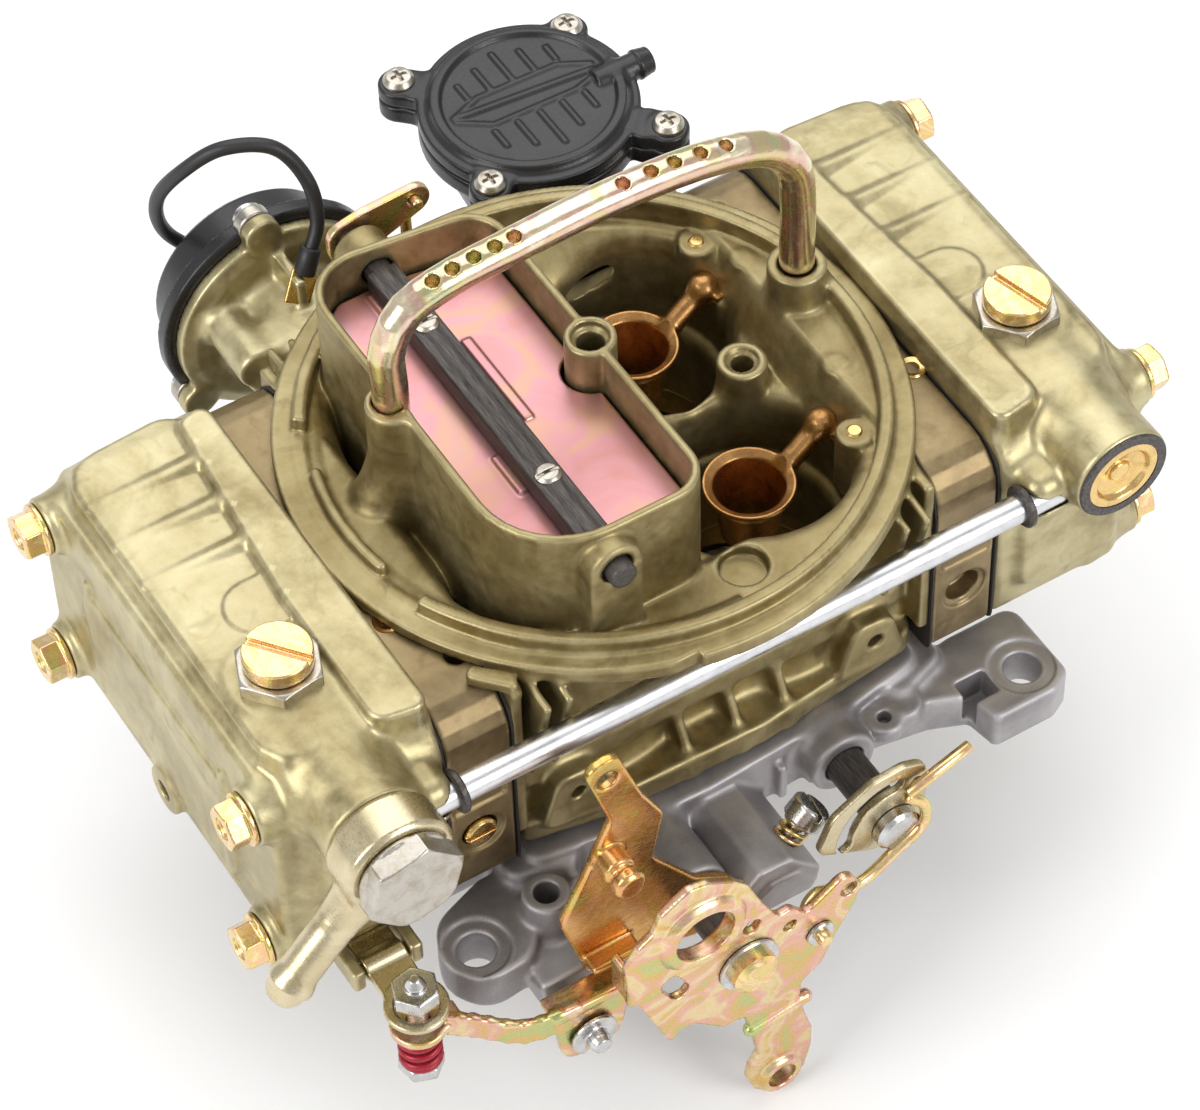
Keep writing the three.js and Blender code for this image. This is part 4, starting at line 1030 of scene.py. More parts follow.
def fuel_bowl(sx):
    """One bowl, drawn for the secondary end and mirrored in X for the primary end."""
    def box(x0, y0, z0, x1, y1, z1, r=1.0):
        a, b = sided(sx, x0, x1)
        return brick((a, y0, z0), (b, y1, z1), r)

    def bar(centre, radius, x0, x1, r=0.8, grow=None):
        a, b = sided(sx, x0, x1)
        if grow is None:
            return drum("x", centre, radius, a, b, r)
        return drum("x", centre, radius if sx > 0 else grow, a, b, r, grow if sx > 0 else radius)

    flank = rounded([(-55, 20, 5), (-50, 15, 4), (50, 15, 4), (55, 20, 5), (55, 70, 10), (46, 79.3, 7),
            (-46, 79.3, 7), (-55, 70, 10)])
    nose = rounded([(-53, 19, 5), (53, 19, 5), (53, 66, 9), (45, 74, 8), (-45, 74, 8), (-53, 66, 9)])
    body = join(
        plate("x", flank, *sided(sx, 70.4, 103.5), 1.6), plate("x", nose, *sided(sx, 96, 109.6), 1.8), k=5.0)
    ridge = plate("z", rounded([(sx * a, b, r) for a, b, r in (
        (70.6, -52, 3), (83, -50, 4), (83, -10, 5), (78.5, 44, 3), (70.6, 46, 3))]), 70, 82.2, 1.3)
    crown = plate("z", rounded([(sx * a, b, r) for a, b, r in (
        (76, -50, 6), (106, -48, 10), (106, 48, 10), (76, 50, 6))]), 60, 79.4, 1.6)
    body = join(body, crown, k=2.0)
    body = join(body, ridge, k=2.2)
    fins = [rail([(sx * 79, y, 79.3), (sx * 105, y + 1.5, 78.4)], 2.3, 0.5) for y in (33, 20.5, 8)]
    pad = plate("z", rounded([(sx * a, b, r) for a, b, r in (
        (80, -1.5, 0.8), (95, -1.5, 7.5), (95, -16, 7.5), (80, -16, 0.8))]), 74, 80.4, 0.6)
    body = join(body, *fins, k=1.6)
    body = join(body, pad, k=0.9)
    bosses = [bar((sy * SCREW_Y, z), 6.8, 98, 112.1, 0.8) for sy in (-1, 1) for z in SCREW_Z]
    bosses += [bar((sy * 46, z), 9, 96, 109, 2.5, 5) for sy in (-1, 1) for z in SCREW_Z]
    ear = drum("z", VALVE if sx > 0 else (-VALVE[0], VALVE[1]), 11.6, 66, 79.3, 1.0)
    end = -65 if sx < 0 else -69
    neck = drum("y", (sx * INLET[0], INLET[1]), 11.8, end, -42, 0.9)
    blend = rail([(sx * 92, -30, 69), (sx * 92, -50, 68.2)], 12.2, 11.9)
    stalk = rail([(sx * 92, -56, 60), (sx * 98, -54, 44)], 7.5, 4.0)
    lobe = box(72, -64.8, 56.5, 90, -50, 69.5, 4.5)
    window = plate("y", rounded([(sx * a, b, 4) for a, b in ((76, 26), (102, 26), (102, 52), (76, 52))]),
        -57, -50, 1.4)
    body = join(body, *bosses, ear, k=2.4)
    body = join(body, neck, blend, lobe, stalk, k=3.0)
    if sx > 0:
        body = join(body, window, k=3.0)
    ribs = [box(108.4, y - 1, 24, 110.6, y + 1, 62, 0.7) for y in (-30, 30)]
    face = plate("x", rounded([(-33, 26, 6), (33, 26, 6), (33, 58, 6), (-33, 58, 6)]),
        *sided(sx, 106, 110.4), 0.7)
    drain = bar((0, 22), 6, 100, 111.5, 0.8)
    body = join(body, *ribs, face, drain, k=1.4)
    tools = [
        drum("z", (sx * VALVE[0], VALVE[1]), 6.3, 74, 90, 0.1),
        drum("y", (sx * INLET[0], INLET[1]), 6.8 if sx < 0 else 9.7, end - 3, -55 if sx < 0 else -61, 0.2),
        drum("x", TRANSFER, 3.7, *sided(sx, 60, 84), 0.2),
        bar((0, 22), 2.6, 109, 114, 0.1),
    ]
    tools += [drum("x", (sy * SCREW_Y, z), 2.9, *sided(sx, 108, 120), 0.1) for sy in (-1, 1)
        for z in SCREW_Z]
    return carve(body, *tools, k=0.4)


def hex_prism(axis, centre, flats, lo, hi, chamfer=0.9, turn=0.0):
    """A hexagon bar with turned chamfers on its corners; turn rotates it in degrees."""
    corner = flats / math.sqrt(3)
    prism = plate(axis, circle(*centre, corner, 6, turn), lo, hi, 0.25)
    cone = turned(axis, centre, [
        (0, lo), (corner - chamfer, lo), (corner + 0.6, lo + chamfer * 0.7),
        (corner + 0.6, hi - chamfer * 0.7), (corner - chamfer, hi), (0, hi)])
    return common(prism, cone)


def bowl_screw(sx, sy, z):
    centre = (sy * SCREW_Y, z)
    washer = drum("x", centre, 6.2, *sided(sx, 112.3, 113.5), 0.3)
    head = hex_prism("x", centre, 9.5, *sided(sx, 112.8, 118), 0.8, turn=12 * sy + z)
    dish = drum("x", centre, 2.6, *sided(sx, 117.2, 121), 0.2)
    return carve(join(washer, head, k=0.3), dish, k=0.4)


for end, sx in ENDS:
    reach = sided(sx, 53.5, 70.2)
    casting(end + "_block_casting", metering_block(sx), (reach[0], -55, 16), (reach[1], 55, 75), 0.55,
        "block_cast", slot="gold_cast", stands_for=[end + "_metering_block"])
    reach = sided(sx, 70, 112.5)
    casting(end + "_bowl_casting", fuel_bowl(sx), (reach[0], -70, 14), (reach[1], 62, 84), 0.55, "bowl_cast",
            slot="gold_cast", stands_for=[end + "_bowl"])
    for i, z in enumerate(SCREW_Z):
        for sy in (-1, 1):
            name = end + "_bowl_screw_" + ("upper" if i else "lower") + ("_left" if sy < 0 else "_right")
            reach = sided(sx, 112, 118.4)
            casting(name + "_head", bowl_screw(sx, sy, z), (reach[0], sy * SCREW_Y - 7, z - 7),
                (reach[1], sy * SCREW_Y + 7, z + 7), 0.3, "zinc_gold", slot="yellow_zinc",
                stands_for=[name])
    cx, cy = sx * VALVE[0], VALVE[1]
    nut = carve(hex_prism("z", (cx, cy), 17.4, 79.7, 84.0, 1.2, turn=8), drum("z", (cx, cy), 5, 70, 90, 0.2))
    casting(end + "_needle_nut", nut, (cx - 11, cy - 11, 79), (cx + 11, cy + 11, 85), 0.3, "nut",
            slot="zinc_steel", stands_for=[end + "_inlet_nut"])
    head = join(drum("z", (cx, cy), 7.6, 84.3, 88.3, 0.45), drum("z", (cx, cy), 2.6, 75, 85, 0.2))
    turn = math.radians(-52 if sx < 0 else -75)
    way = (math.cos(turn), math.sin(turn), 0)
    slot_cut = tilted(brick((-12, -0.9, -1.5), (12, 0.9, 3), 0.1), (cx, cy, 88.3), (0, 0, 1), way)
    casting(end + "_lock_head", carve(head, slot_cut, k=0.3), (cx - 8.5, cy - 8.5, 75),
        (cx + 8.5, cy + 8.5, 89), 0.26, "zinc_gold", slot="yellow_zinc", stands_for=[end + "_lock_screw"])


# ---------------------------------------------------------------- finishes of the solids that stay shown
def dress(finish, *names):
    for name in names:
        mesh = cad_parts[name].data
        mesh.materials.clear()
        mesh.materials.append(finishes[finish])


# ---------------------------------------------------------------- boosters, inserts and tubes
def booster(sx, sy):
    x, y = sx * VENTURI[0], sy * VENTURI[1]
    cup = turned("z", (x, y), [(4.6, 47), (6.1, 47), (6.5, 50), (8.0, 59), (10.3, 62.4), (10.1, 63.1),
            (8.2, 62), (6.9, 57), (5.2, 50)], 0.2)
    if sx > 0:
        arm = rail([(x + 6.5, y, 59), (x + 12, y + 1.5, 62.5), (x + 20, y + 3, 66.5)], 2.6)
        ball = rail([(x + 20.4, y + 3, 67.2), (x + 20.5, y + 3, 67.2)], 3.7)
        saddle = join(brick((x + 21, y - 1.8, 65.6), (x + 26, y + 7.6, 67.4), 0.5),
            brick((x + 21, y + 0.4, 56), (x + 25, y + 5.6, 66.5), 0.8))
    else:
        arm = rail([(x + 6.5, y, 57), (x + 15, y, 58)], 2.5)
        ball = rail([(x + 13.5, y, 60), (x + 13.6, y, 60)], 3.5)
        saddle = brick((x + 14, y - 4.4, 52), (x + 17.9, y + 4.4, 65.9), 0.9)
    bore = turned("z", (x, y), [(0, 40), (4.6, 40), (4.8, 50), (6.6, 57), (7.9, 62), (9.8, 64), (0, 64)])
    return carve(join(cup, join(arm, ball, saddle, k=1.5), k=1.2), bore, k=0.2)


for end, sx in ENDS:
    for side, sy in (("left", -1), ("right", 1)):
        x, y = sx * VENTURI[0], sy * VENTURI[1]
        casting(f"{end}_booster_{side}_cup", booster(sx, sy), (x - 11, y - 11, 46.5),
            (x + 27, y + 11.5, 71.5), 0.36, "booster", slot="booster_brass",
            stands_for=[f"{end}_booster_{side}"])
        screws = [turned_mesh("plate_screw", "z", (sx * BORE[0], sy * BORE[1] + gap),
                [(0, 13.4), (1.2, 14.9), (2.4, 14.5), (2.9, 13.9), (2.9, 13.2), (0, 13.2)], 20)
            for gap in (-9, 9)]
        piece(f"{end}_plate_screws_{side}", merged("plate_screws", *screws), "steel", body=end + "_throttle")

for x, y, z in ((47.8, 33.4, 75.1), (46.5, -32.5, 75.1), (53, 22.5, 76), (53, -15, 76)):
    radius = 2.0 if x < 50 else 1.1
    dot = turned_mesh("dot", "z", (x, y),
        [(0, z + 0.5), (radius * 0.7, z + 0.45), (radius, z), (radius, z - 1.5), (0, z - 1.5)], 20)
    piece(f"nozzle_plug_{x:.0f}_{'far' if y > 0 else 'near'}", dot, "brass")

VENT_WAY = [(-44.6, 7.5, 92), (-44.6, 7.5, 108), (-44.6, 7.5, 119), (-40.1, 7.5, 127.5),
    (-31.6, 7.5, 131), (-14, 7.5, 132.6), (10, 7.5, 133.6), (34, 7.5, 131.6), (49, 7.5, 126.5),
    (56, 7.5, 118), (57.6, 7.5, 106), (57.6, 7.5, 92), (57.6, 7.5, 77)]


def vent_tube():
    way = [tuple(p) for p in smooth_way(VENT_WAY, 34)]
    tube = rail(way, 3.97)
    places = {round(p[0], 3): p for p in smooth_way(VENT_WAY, 400)}
    holes = []
    for x in (-33.3, -28.5, -23.4, -18, -13.6, 13.2, 19.8, 26, 32.2, 38.7):
        at = places[min(places, key=lambda near: abs(near - x))]
        holes.append(rail([tuple(at), (at[0], at[1] - 2.2, at[2] + 9)], 1.55))
    return carve(tube, *holes, k=0.25)


casting("vent_pipe", vent_tube(), (-49.5, 3, 87), (62.5, 12, 138.5), 0.4, "vent", slot="iridescent_zinc",
    stands_for=["vent_tube"])
piece("fuel_transfer_pipe", turned_mesh("fuel_transfer_pipe", "x", TRANSFER,
        [(0, -83), (2.9, -83), (3.2, -82.6), (3.2, 82.6), (2.9, 83), (0, 83)]), "tube",
    slot="bare_aluminium", stands_for=["transfer_tube"])
for end, sx in ENDS:
    profile = [(2.9, 70.2), (4.4, 70.2), (5.0, 70.7), (5.0, 71.7), (4.4, 72.2), (2.9, 72.2)]
    profile = [(radius, sx * reach) for radius, reach in profile][::sx]
    piece(f"transfer_seal_{end}", turned_mesh("seal", "x", TRANSFER, profile), "dark")


def barb_place(distance):
    way = Vector((-28, 0, -30)).normalized() * distance
    return (-92 + way.x, -70.5, 68 + way.z)


ring = turned("y", PRIMARY_INLET, [(6.6, -75.6), (11.8, -75.6), (12.6, -74.6), (12.6, -66.4), (11.8, -65.4),
        (6.6, -65.4)], 0.1)
barb = join(rail([barb_place(8), barb_place(38)], 4.5), rail([barb_place(9), barb_place(19)], 6.4, 4.5),
    rail([barb_place(37.6), barb_place(39)], 5.3, 4.3), k=0.8)
banjo = carve(join(ring, barb, k=1.6), rail([barb_place(11), barb_place(47)], 3.0),
    drum("y", PRIMARY_INLET, 6.5, -80, -60, 0.1), k=0.3)
casting("inlet_banjo_fitting", banjo, (-128, -77, 32), (-78, -64, 82), 0.42, "banjo", slot="yellow_zinc",
    stands_for=["inlet_banjo"])
bolt = join(hex_prism("y", PRIMARY_INLET, 20, -82, -76.2, 1.3, turn=14),
    drum("y", PRIMARY_INLET, 6, -77, -56, 0.2), drum("y", PRIMARY_INLET, 10.6, -77, -75.8, 0.3), k=0.2)
casting("inlet_banjo_bolt", bolt, (-105, -83, 55), (-79, -55, 81), 0.4, "nut", slot="zinc_steel",
    stands_for=["banjo_bolt"])
plug = join(turned("y", INLET, [(0, -60.6), (9.2, -60.6), (9.2, -69.4), (7.2, -69.6), (6.4, -68.2),
            (0, -66.4)], 0.15), drum("y", INLET, 2.6, -68.4, -62, 0.6), k=0.4)
casting("inlet_plug_brass", plug, (82, -70.5, 58), (102, -60, 78), 0.36, "brass", slot="brass",
    stands_for=["secondary_inlet_plug"])
piece("inlet_plug_seal", turned_mesh("inlet_plug_seal", "y", INLET, [
    (9.0, -69.7), (11.2, -69.7), (11.5, -69.3), (11.2, -68.9), (9.0, -68.9)]), "dark")
for x, y, finish in ((-64.8, -22.6, "booster"), (67.8, -23.3, "brass")):
    piece("block_insert_" + ("primary" if x < 0 else "secondary"),
        turned_mesh("insert", "z", (x, y),
            [(0, 73.4), (1.5, 73.4), (1.7, 74.2), (2.8, 74.6), (3.2, 74.2), (3.2, 73.6), (2.8, 73.2),
                (0, 73.2)], 24), finish)


def mixture_needle():
    point = turned("y", (-62.3, 33.4), [(0, -49.5), (3.4, -49.5), (3.7, -54), (3.2, -54.7), (0, -54.7)],
        0.15)
    return carve(point, brick((-67, -56, 32.85), (-58, -53.6, 33.95), 0.1), k=0.2)


casting("idle_mixture_needle", mixture_needle(), (-66.5, -55.2, 29.2), (-58, -49, 37.6), 0.24, "brass",
    slot="brass")


# ---------------------------------------------------------------- choke
def choke_blade():
    sheet = common(plate("z", tower_outline(2.7), 91.4, 92.6, 0.4),
        brick((-60, -44.1, 80), (20, 45.8, 110), 1.2))
    tabs = [
        brick((-19.6, -5, 91.6), (-17.2, 22, 93.3), 0.5), brick((-30.2, 36, 91.6), (-27.8, 44.4, 93.3), 0.5),
        brick((-31, -22, 91.6), (-28.6, -10, 93.3), 0.5)]
    sheet = join(sheet, *tabs, k=0.6)
    notches = [drum("z", STUD, 6.6, 80, 110, 0.1), brick((-60, 2.4, 80), (-39.5, 12.6, 110), 3.0)]
    return carve(sheet, *notches, k=0.3)


casting("choke_blade", choke_blade(), (-43, -45, 90.8), (0, 47, 94), 0.42, "choke", body="choke_valve",
        slot="iridescent_zinc", stands_for=["choke_plate"])


def choke_spindle():
    spindle = drum("y", CHOKE, 3.1, -55, 61.5, 0.5)
    blade = brick((CHOKE[0] - 3.6, -43.5, 93), (CHOKE[0] + 3.6, 45.5, 98.4), 0.45)
    return join(spindle, blade, k=0.3)


casting("choke_spindle", choke_spindle(), (-30, -56, 91.5), (-21, 62, 100), 0.42, "shaft",
    body="choke_valve", slot="dark_steel", stands_for=["choke_shaft"])
for y in (-24.5, 26):
    screw = carve(
        turned("z", (CHOKE[0], y), [(0, 98), (2.9, 98), (2.9, 98.8), (2.2, 99.5), (0, 99.8)], 0.1),
        brick((CHOKE[0] - 4, y - 0.45, 99), (CHOKE[0] + 4, y + 0.45, 101), 0.05), k=0.1)
    casting("choke_screw_" + ("near" if y < 0 else "far"), screw, (CHOKE[0] - 3.3, y - 3.3, 97.5),
        (CHOKE[0] + 3.3, y + 3.3, 100.2), 0.22, "nut", body="choke_valve")
x, z = CHOKE
lever_edge = rounded([(x - 6, z - 5, 4), (x + 2, z - 6, 4), (x + 20, z + 1, 4), (x + 19, z + 8, 4),
        (x + 3, z + 7, 4), (x - 6, z + 5, 4)])
piece("choke_arm", sheet_mesh("choke_arm", "y", 58.6, 2, lever_edge,
        [circle(x, z, 2.9, 20), circle(x + 15.5, z + 4, 1.7, 16)]), "lever", body="choke_valve",
    slot="iridescent_zinc", stands_for=["choke_lever"])
piece("choke_arm_rivet", turned_mesh("choke_arm_rivet", "y", CHOKE, [
    (0, 61.5), (3.2, 61.4), (4.0, 60.6), (4.0, 59.8), (0, 59.8)], 24), "steel", body="choke_valve")
CHOKE_ROD_WAY = [(-10, 55.5, 100), (-10, 59.6, 100), (-10, 61.8, 98.4), (-10, 62.3, 93), (-10, 62.3, 80),
    (-10, 62.3, 66)]
piece("choke_link_rod", rod_mesh("choke_link_rod", smooth_way(CHOKE_ROD_WAY, 40), 1.3, 14), "zinc_gold",
    body="choke_link", slot="iridescent_zinc", stands_for=["choke_rod"])


CAP_SCREWS = [(COLD[0] + 27.5 * math.cos(math.radians(a)), COLD[1] + 27.5 * math.sin(math.radians(a)))
    for a in (95, 215, 335)]


def thermostat_housing():
    cx, cz = COLD
    face = turned("y", COLD, [(0, 77.7), (22, 77.7), (25.3, 79.2), (25.3, 81.5), (0, 81.5)], 0.2)
    barrel = drum("y", COLD, 14, 58, 79, 1.4, 16)
    arm = brick((-50, 54.3, 44), (-22, 62, 66), 2.5)
    piston = drum("y", (-50, 66), 5, 60, 79, 1.0)
    link = brick((-52, 60, 58), (-40, 70, 70), 2.5)
    rib = plate("y", rectangle(cx - 1.2, cz - 22, cx + 1.2, cz + 22), 66, 79, 0.8)
    body = join(face, barrel, arm, piston, link, k=3.0)
    ears = [drum("y", centre, 4.4, 78, 81.6, 0.7) for centre in CAP_SCREWS]
    return join(body, rib, *ears, k=2.0)


casting("thermostat_housing", thermostat_housing(), (-68, 54, 26), (-4, 82, 92), 0.6, "bowl_cast",
    slot="gold_cast", stands_for=["choke_housing"])


def thermostat_cap():
    rim = turned("y", COLD, [(0, 82), (26.6, 82), (27.8, 82.6), (27.8, 85.6), (27, 86), (0, 86)], 0.2)
    cup = turned("y", COLD, [(0, 84), (24.5, 84), (23.2, 95.4), (21.8, 96.9), (0, 96.9)], 0.1)
    dish = turned("y", COLD, [(0, 95.6), (16.5, 95.6), (17.6, 96.2), (17.6, 98), (0, 98)], 0.2)
    marks = [plate("y", [(COLD[0] + math.cos(a) * r - math.sin(a) * s,
                    COLD[1] + math.sin(a) * r + math.cos(a) * s) for r,
                s in ((25.2, -0.45), (27.4, -0.45), (27.4, 0.45), (25.2, 0.45))], 85.5, 86.5, 0.1)
        for a in (math.radians(60 + 9 * i) for i in range(9))]
    body = carve(join(rim, cup, k=0.8), dish, k=0.5)
    return join(body, *marks, drum("y", COLD, 5.2, 90, 97, 0.6), k=0.3)


casting("thermostat_cap", thermostat_cap(), (-64, 81.5, 29), (-6, 98, 87), 0.5, "plastic",
    slot="black_plastic", stands_for=["choke_cap"])
WIRE_WAY = [(-42, 99.2, 63), (-50, 103, 72), (-53, 99, 88), (-49, 92, 101), (-41, 87, 108),
    (-31, 82, 107), (-26, 77, 98), (-26.5, 73, 89), (-31, 70, 82.5)]
piece("heater_wire", rod_mesh("heater_wire", smooth_way(WIRE_WAY, 80), 1.7, 16), "cable",
    slot="wire_cover", stands_for=["choke_wire"])
for name, place, way in (("upper", (-31, 70, 82.5), (-0.5, -0.3, -0.8)),
    ("lower", (-42, 99.2, 63), (0.6, -0.3, -0.7))):
    tip = Vector(place) + Vector(way) * 7
    start = Vector(place) - Vector(way) * 2.5
    sleeve = rod_mesh("sleeve", [tuple(start), place, tuple(Vector(place) + Vector(way) * 4)], 2.5, 14)
    piece(f"heater_wire_sleeve_{name}", sleeve, "cable")
    if name == "upper":
        blade = tilted(brick((-3.1, -0.45, 0), (3.1, 0.45, 8), 0.25),
            tuple(Vector(place) + Vector(way) * 3), way, (1, 0, 0.2))
        mid = Vector(place) + Vector(way) * 7
        casting("heater_wire_tab", blade, tuple(mid - Vector((7, 7, 7))), tuple(mid + Vector((7, 7, 7))),
            0.3, "brass")
RIVET = [(0, 85.0), (3.6, 85.0), (3.6, 86.3), (2.6, 87.4), (0, 87.9)]
rivets = [turned_mesh("rivet", "y", centre, RIVET, 24) for centre in CAP_SCREWS]
clips = [drum("y", centre, 4.3, 81.8, 85.2, 0.5) for centre in CAP_SCREWS]
piece("thermostat_rivets", merged("rivets", *rivets), "steel")
casting("thermostat_clips", join(*clips), (-68, 81.3, 28), (-6, 85.8, 92), 0.4, "nut")


# ---------------------------------------------------------------- vacuum diaphragm
DIAPHRAGM_EARS = ((20, 16), (23, -24), (-22, 22), (-21, -18))


def diaphragm_flange(z0, z1, radius, ear):
    cx, cy = DIAPHRAGM[:2]
    shapes = [drum("z", (cx, cy), radius, z0, z1, 0.8)]
    for dx, dy in DIAPHRAGM_EARS:
        shapes.append(drum("z", (cx + dx, cy + dy), ear, z0, z1, 0.8))
        shapes.append(drum("z", (cx + dx * 0.85, cy + dy * 0.85), ear, z0, z1, 0.8))
    return join(*shapes, k=1.5)


def diaphragm_bottom():
    cx, cy = DIAPHRAGM[:2]
    cup = turned("z", (cx, cy), [(0, 41), (14.4, 41), (15.6, 43), (23, 63.6), (23, 66), (0, 66)], 0.2)
    body = join(diaphragm_flange(64, 68.7, 26, 5), cup, drum("z", (cx, cy), 8, 33, 43, 1.2),
        brick((26, 60.3, 34), (50, 93.5, 44), 2.5), k=2.5)
    foot = brick((24, 60.3, 30), (52, 64.5, 49), 1.4)
    return carve(join(body, foot, k=2.0), drum("z", (cx, cy), 4, 20, 63, 0.1),
        drum("z", (cx, cy), 20.6, 61, 72, 0.3), k=0.4)


def diaphragm_top():
    cx, cy = DIAPHRAGM[:2]
    crown = turned("z", (cx, cy), [(0, 70), (24, 70), (23.4, 73.2), (22.6, 74.7), (21.0, 74.9),
            (20.2, 73.6), (0, 73.6)], 0.2)
    port = join(drum("x", (cy - 3, 72.6), 3.3, cx + 16, cx + 31, 0.4),
        drum("x", (cy - 3, 72.6), 3.9, cx + 27, cx + 30, 0.6, 3.3), k=0.4)
    bars = []
    for x0 in (-12, -6, 0, 6, 12):
        for y0, y1 in ((-17 + abs(x0) * 0.5, -4.5), (7, 17.5 - abs(x0) * 0.4)):
            bars.append(brick((cx + x0 - 0.6, cy + y0, 72.8), (cx + x0 + 0.6, cy + y1, 74.4), 0.4))
    slant = [(cx - 16.5, cy + 3.2, 73.6), (cx + 17, cy + 0.2, 73.6)]
    frames = [rail([(cx - 18, cy + 2, 73.6), (cx - 11, cy - 3, 73.6), (cx + 11, cy - 3.5, 73.6),
                (cx + 18, cy - 1.5, 73.6)], 0.75),
        rail([(cx - 18, cy + 3.5, 73.6), (cx - 10, cy + 6.5, 73.6), (cx + 11, cy + 6, 73.6),
                (cx + 18, cy + 2, 73.6)], 0.75)]
    body = join(diaphragm_flange(69.1, 72.9, 26, 5), crown, k=1.2)
    body = join(body, port, k=1.4)
    body = join(body, *bars, rail(slant, 1.0), *frames, k=0.7)
    return carve(body, drum("x", (cy - 3, 72.6), 1.9, cx + 26, cx + 34, 0.1), k=0.3)


casting("diaphragm_lower_shell", diaphragm_bottom(), (12, 59.5, 32.5), (70, 122, 69.2), 0.62, "plastic",
    slot="black_plastic", stands_for=["diaphragm_housing"])
casting("diaphragm_upper_shell", diaphragm_top(), (12, 64, 68.8), (72, 122, 76.5), 0.46, "plastic",
    slot="black_plastic", stands_for=["diaphragm_cover"])


def cross_screw(name, x, y, z, finish="nut"):
    head = carve(turned("z", (x, y), [(0, z), (3.7, z), (3.7, z + 0.8), (2.9, z + 2.0), (0, z + 2.5)],
            0.1), brick((x - 1.9, y - 0.4, z + 1.2), (x + 1.9, y + 0.4, z + 4), 0.1),
        brick((x - 0.4, y - 1.9, z + 1.2), (x + 0.4, y + 1.9, z + 4), 0.1), k=0.2)
    casting(name, head, (x - 4.2, y - 4.2, z - 0.3), (x + 4.2, y + 4.2, z + 3), 0.26, finish)


for i, (dx, dy) in enumerate(DIAPHRAGM_EARS):
    cross_screw(f"diaphragm_screw_{i + 1}", DIAPHRAGM[0] + dx, DIAPHRAGM[1] + dy, 72.8)
piece("diaphragm_stem_rod", turned_mesh("diaphragm_stem_rod", "z", DIAPHRAGM[:2],
        [(0, 2), (1.7, 2), (2.0, 2.5), (2.0, 47.6), (1.7, 48), (0, 48)], 24), "steel",
    body="diaphragm_stem", slot="zinc_steel", stands_for=["diaphragm_rod"])


# ---------------------------------------------------------------- throttle shafts and levers
def throttle_spindle(sx, lo, hi, arm=None):
    centre = (sx * SHAFT_X, SHAFT_Z)
    spindle = drum("y", centre, SHAFT_R, lo, hi, 0.7)
    slots = [brick((centre[0] - 30, min(sy * 2, sy * 45.7), centre[1] - 0.75),
            (centre[0] + 30, max(sy * 2, sy * 45.7), centre[1] + 0.75), 0.1) for sy in (-1, 1)]
    return carve(join(spindle, arm, k=0.6) if arm else spindle, *slots)


rear_arm = plate("y", rounded([
    (17.5, 3, 5), (25.5, 2, 5), (44.5, -8, 5), (45.5, 0, 4), (27.5, 16, 5), (17.5, 15, 5)]), 88.6, 90.6, 0.4)
casting("primary_spindle", throttle_spindle(-1, -102, 68), (-29, -103, 3.5), (-18, 69, 14.5), 0.46,
    "shaft", body="primary_throttle", slot="dark_steel", stands_for=["primary_throttle_shaft"])
casting("secondary_spindle", throttle_spindle(1, -85.8, 90.6, rear_arm), (16.5, -87, -9),
    (46.5, 91.5, 17), 0.46, "shaft", body="secondary_throttle", slot="dark_steel",
    stands_for=["secondary_throttle_shaft"])
piece("primary_spindle_nut", turned_mesh("primary_spindle_nut", "y", (-SHAFT_X, SHAFT_Z),
        [(0, -103.6), (4.2, -103.6), (5.6, -102.6), (5.6, -99.6), (0, -99.6)], 24), "zinc_gold",
    body="primary_throttle")
piece("secondary_spindle_nut", turned_mesh("secondary_spindle_nut", "y", (SHAFT_X, SHAFT_Z),
        [(0, -88.2), (4.6, -88.2), (5.6, -87.4), (5.6, -85.2), (0, -85.2)], 24), "steel",
    body="secondary_throttle")


def at_shaft(sx, *corners):
    return [(sx * SHAFT_X + c[0], SHAFT_Z + c[1], *c[2:]) for c in corners]


THROTTLE_EDGE = [(-9.5, 36.3), (-3.3, 32.3), (0.2, 28.2), (3.8, 19.2), (7.9, 10.8), (11, 11.9),
    (15.1, 6.4), (24.5, 13), (26.9, 11.6), (29, 7.3), (27.9, 1.9), (22.9, -6.8), (19.4, -14.8),
    (14.2, -18.5), (13.8, -23.7), (15.2, -31.5), (17.2, -38.7), (17.1, -45.5), (15.3, -53), (12.7, -55.3),
    (7.3, -56.3), (2.2, -52), (0.3, -46.3), (1.1, -42.5), (3.2, -38.5), (2.1, -32), (-0.6, -20.3),
    (-6, -20.3), (-14, -12.2), (-17.6, -12.5), (-19.6, -15.5), (-29.8, 11.2), (-30.4, 19.9),
    (-26.9, 25.7), (-23.4, 28.1), (-21.3, 33.4), (-14.4, 37.5)]


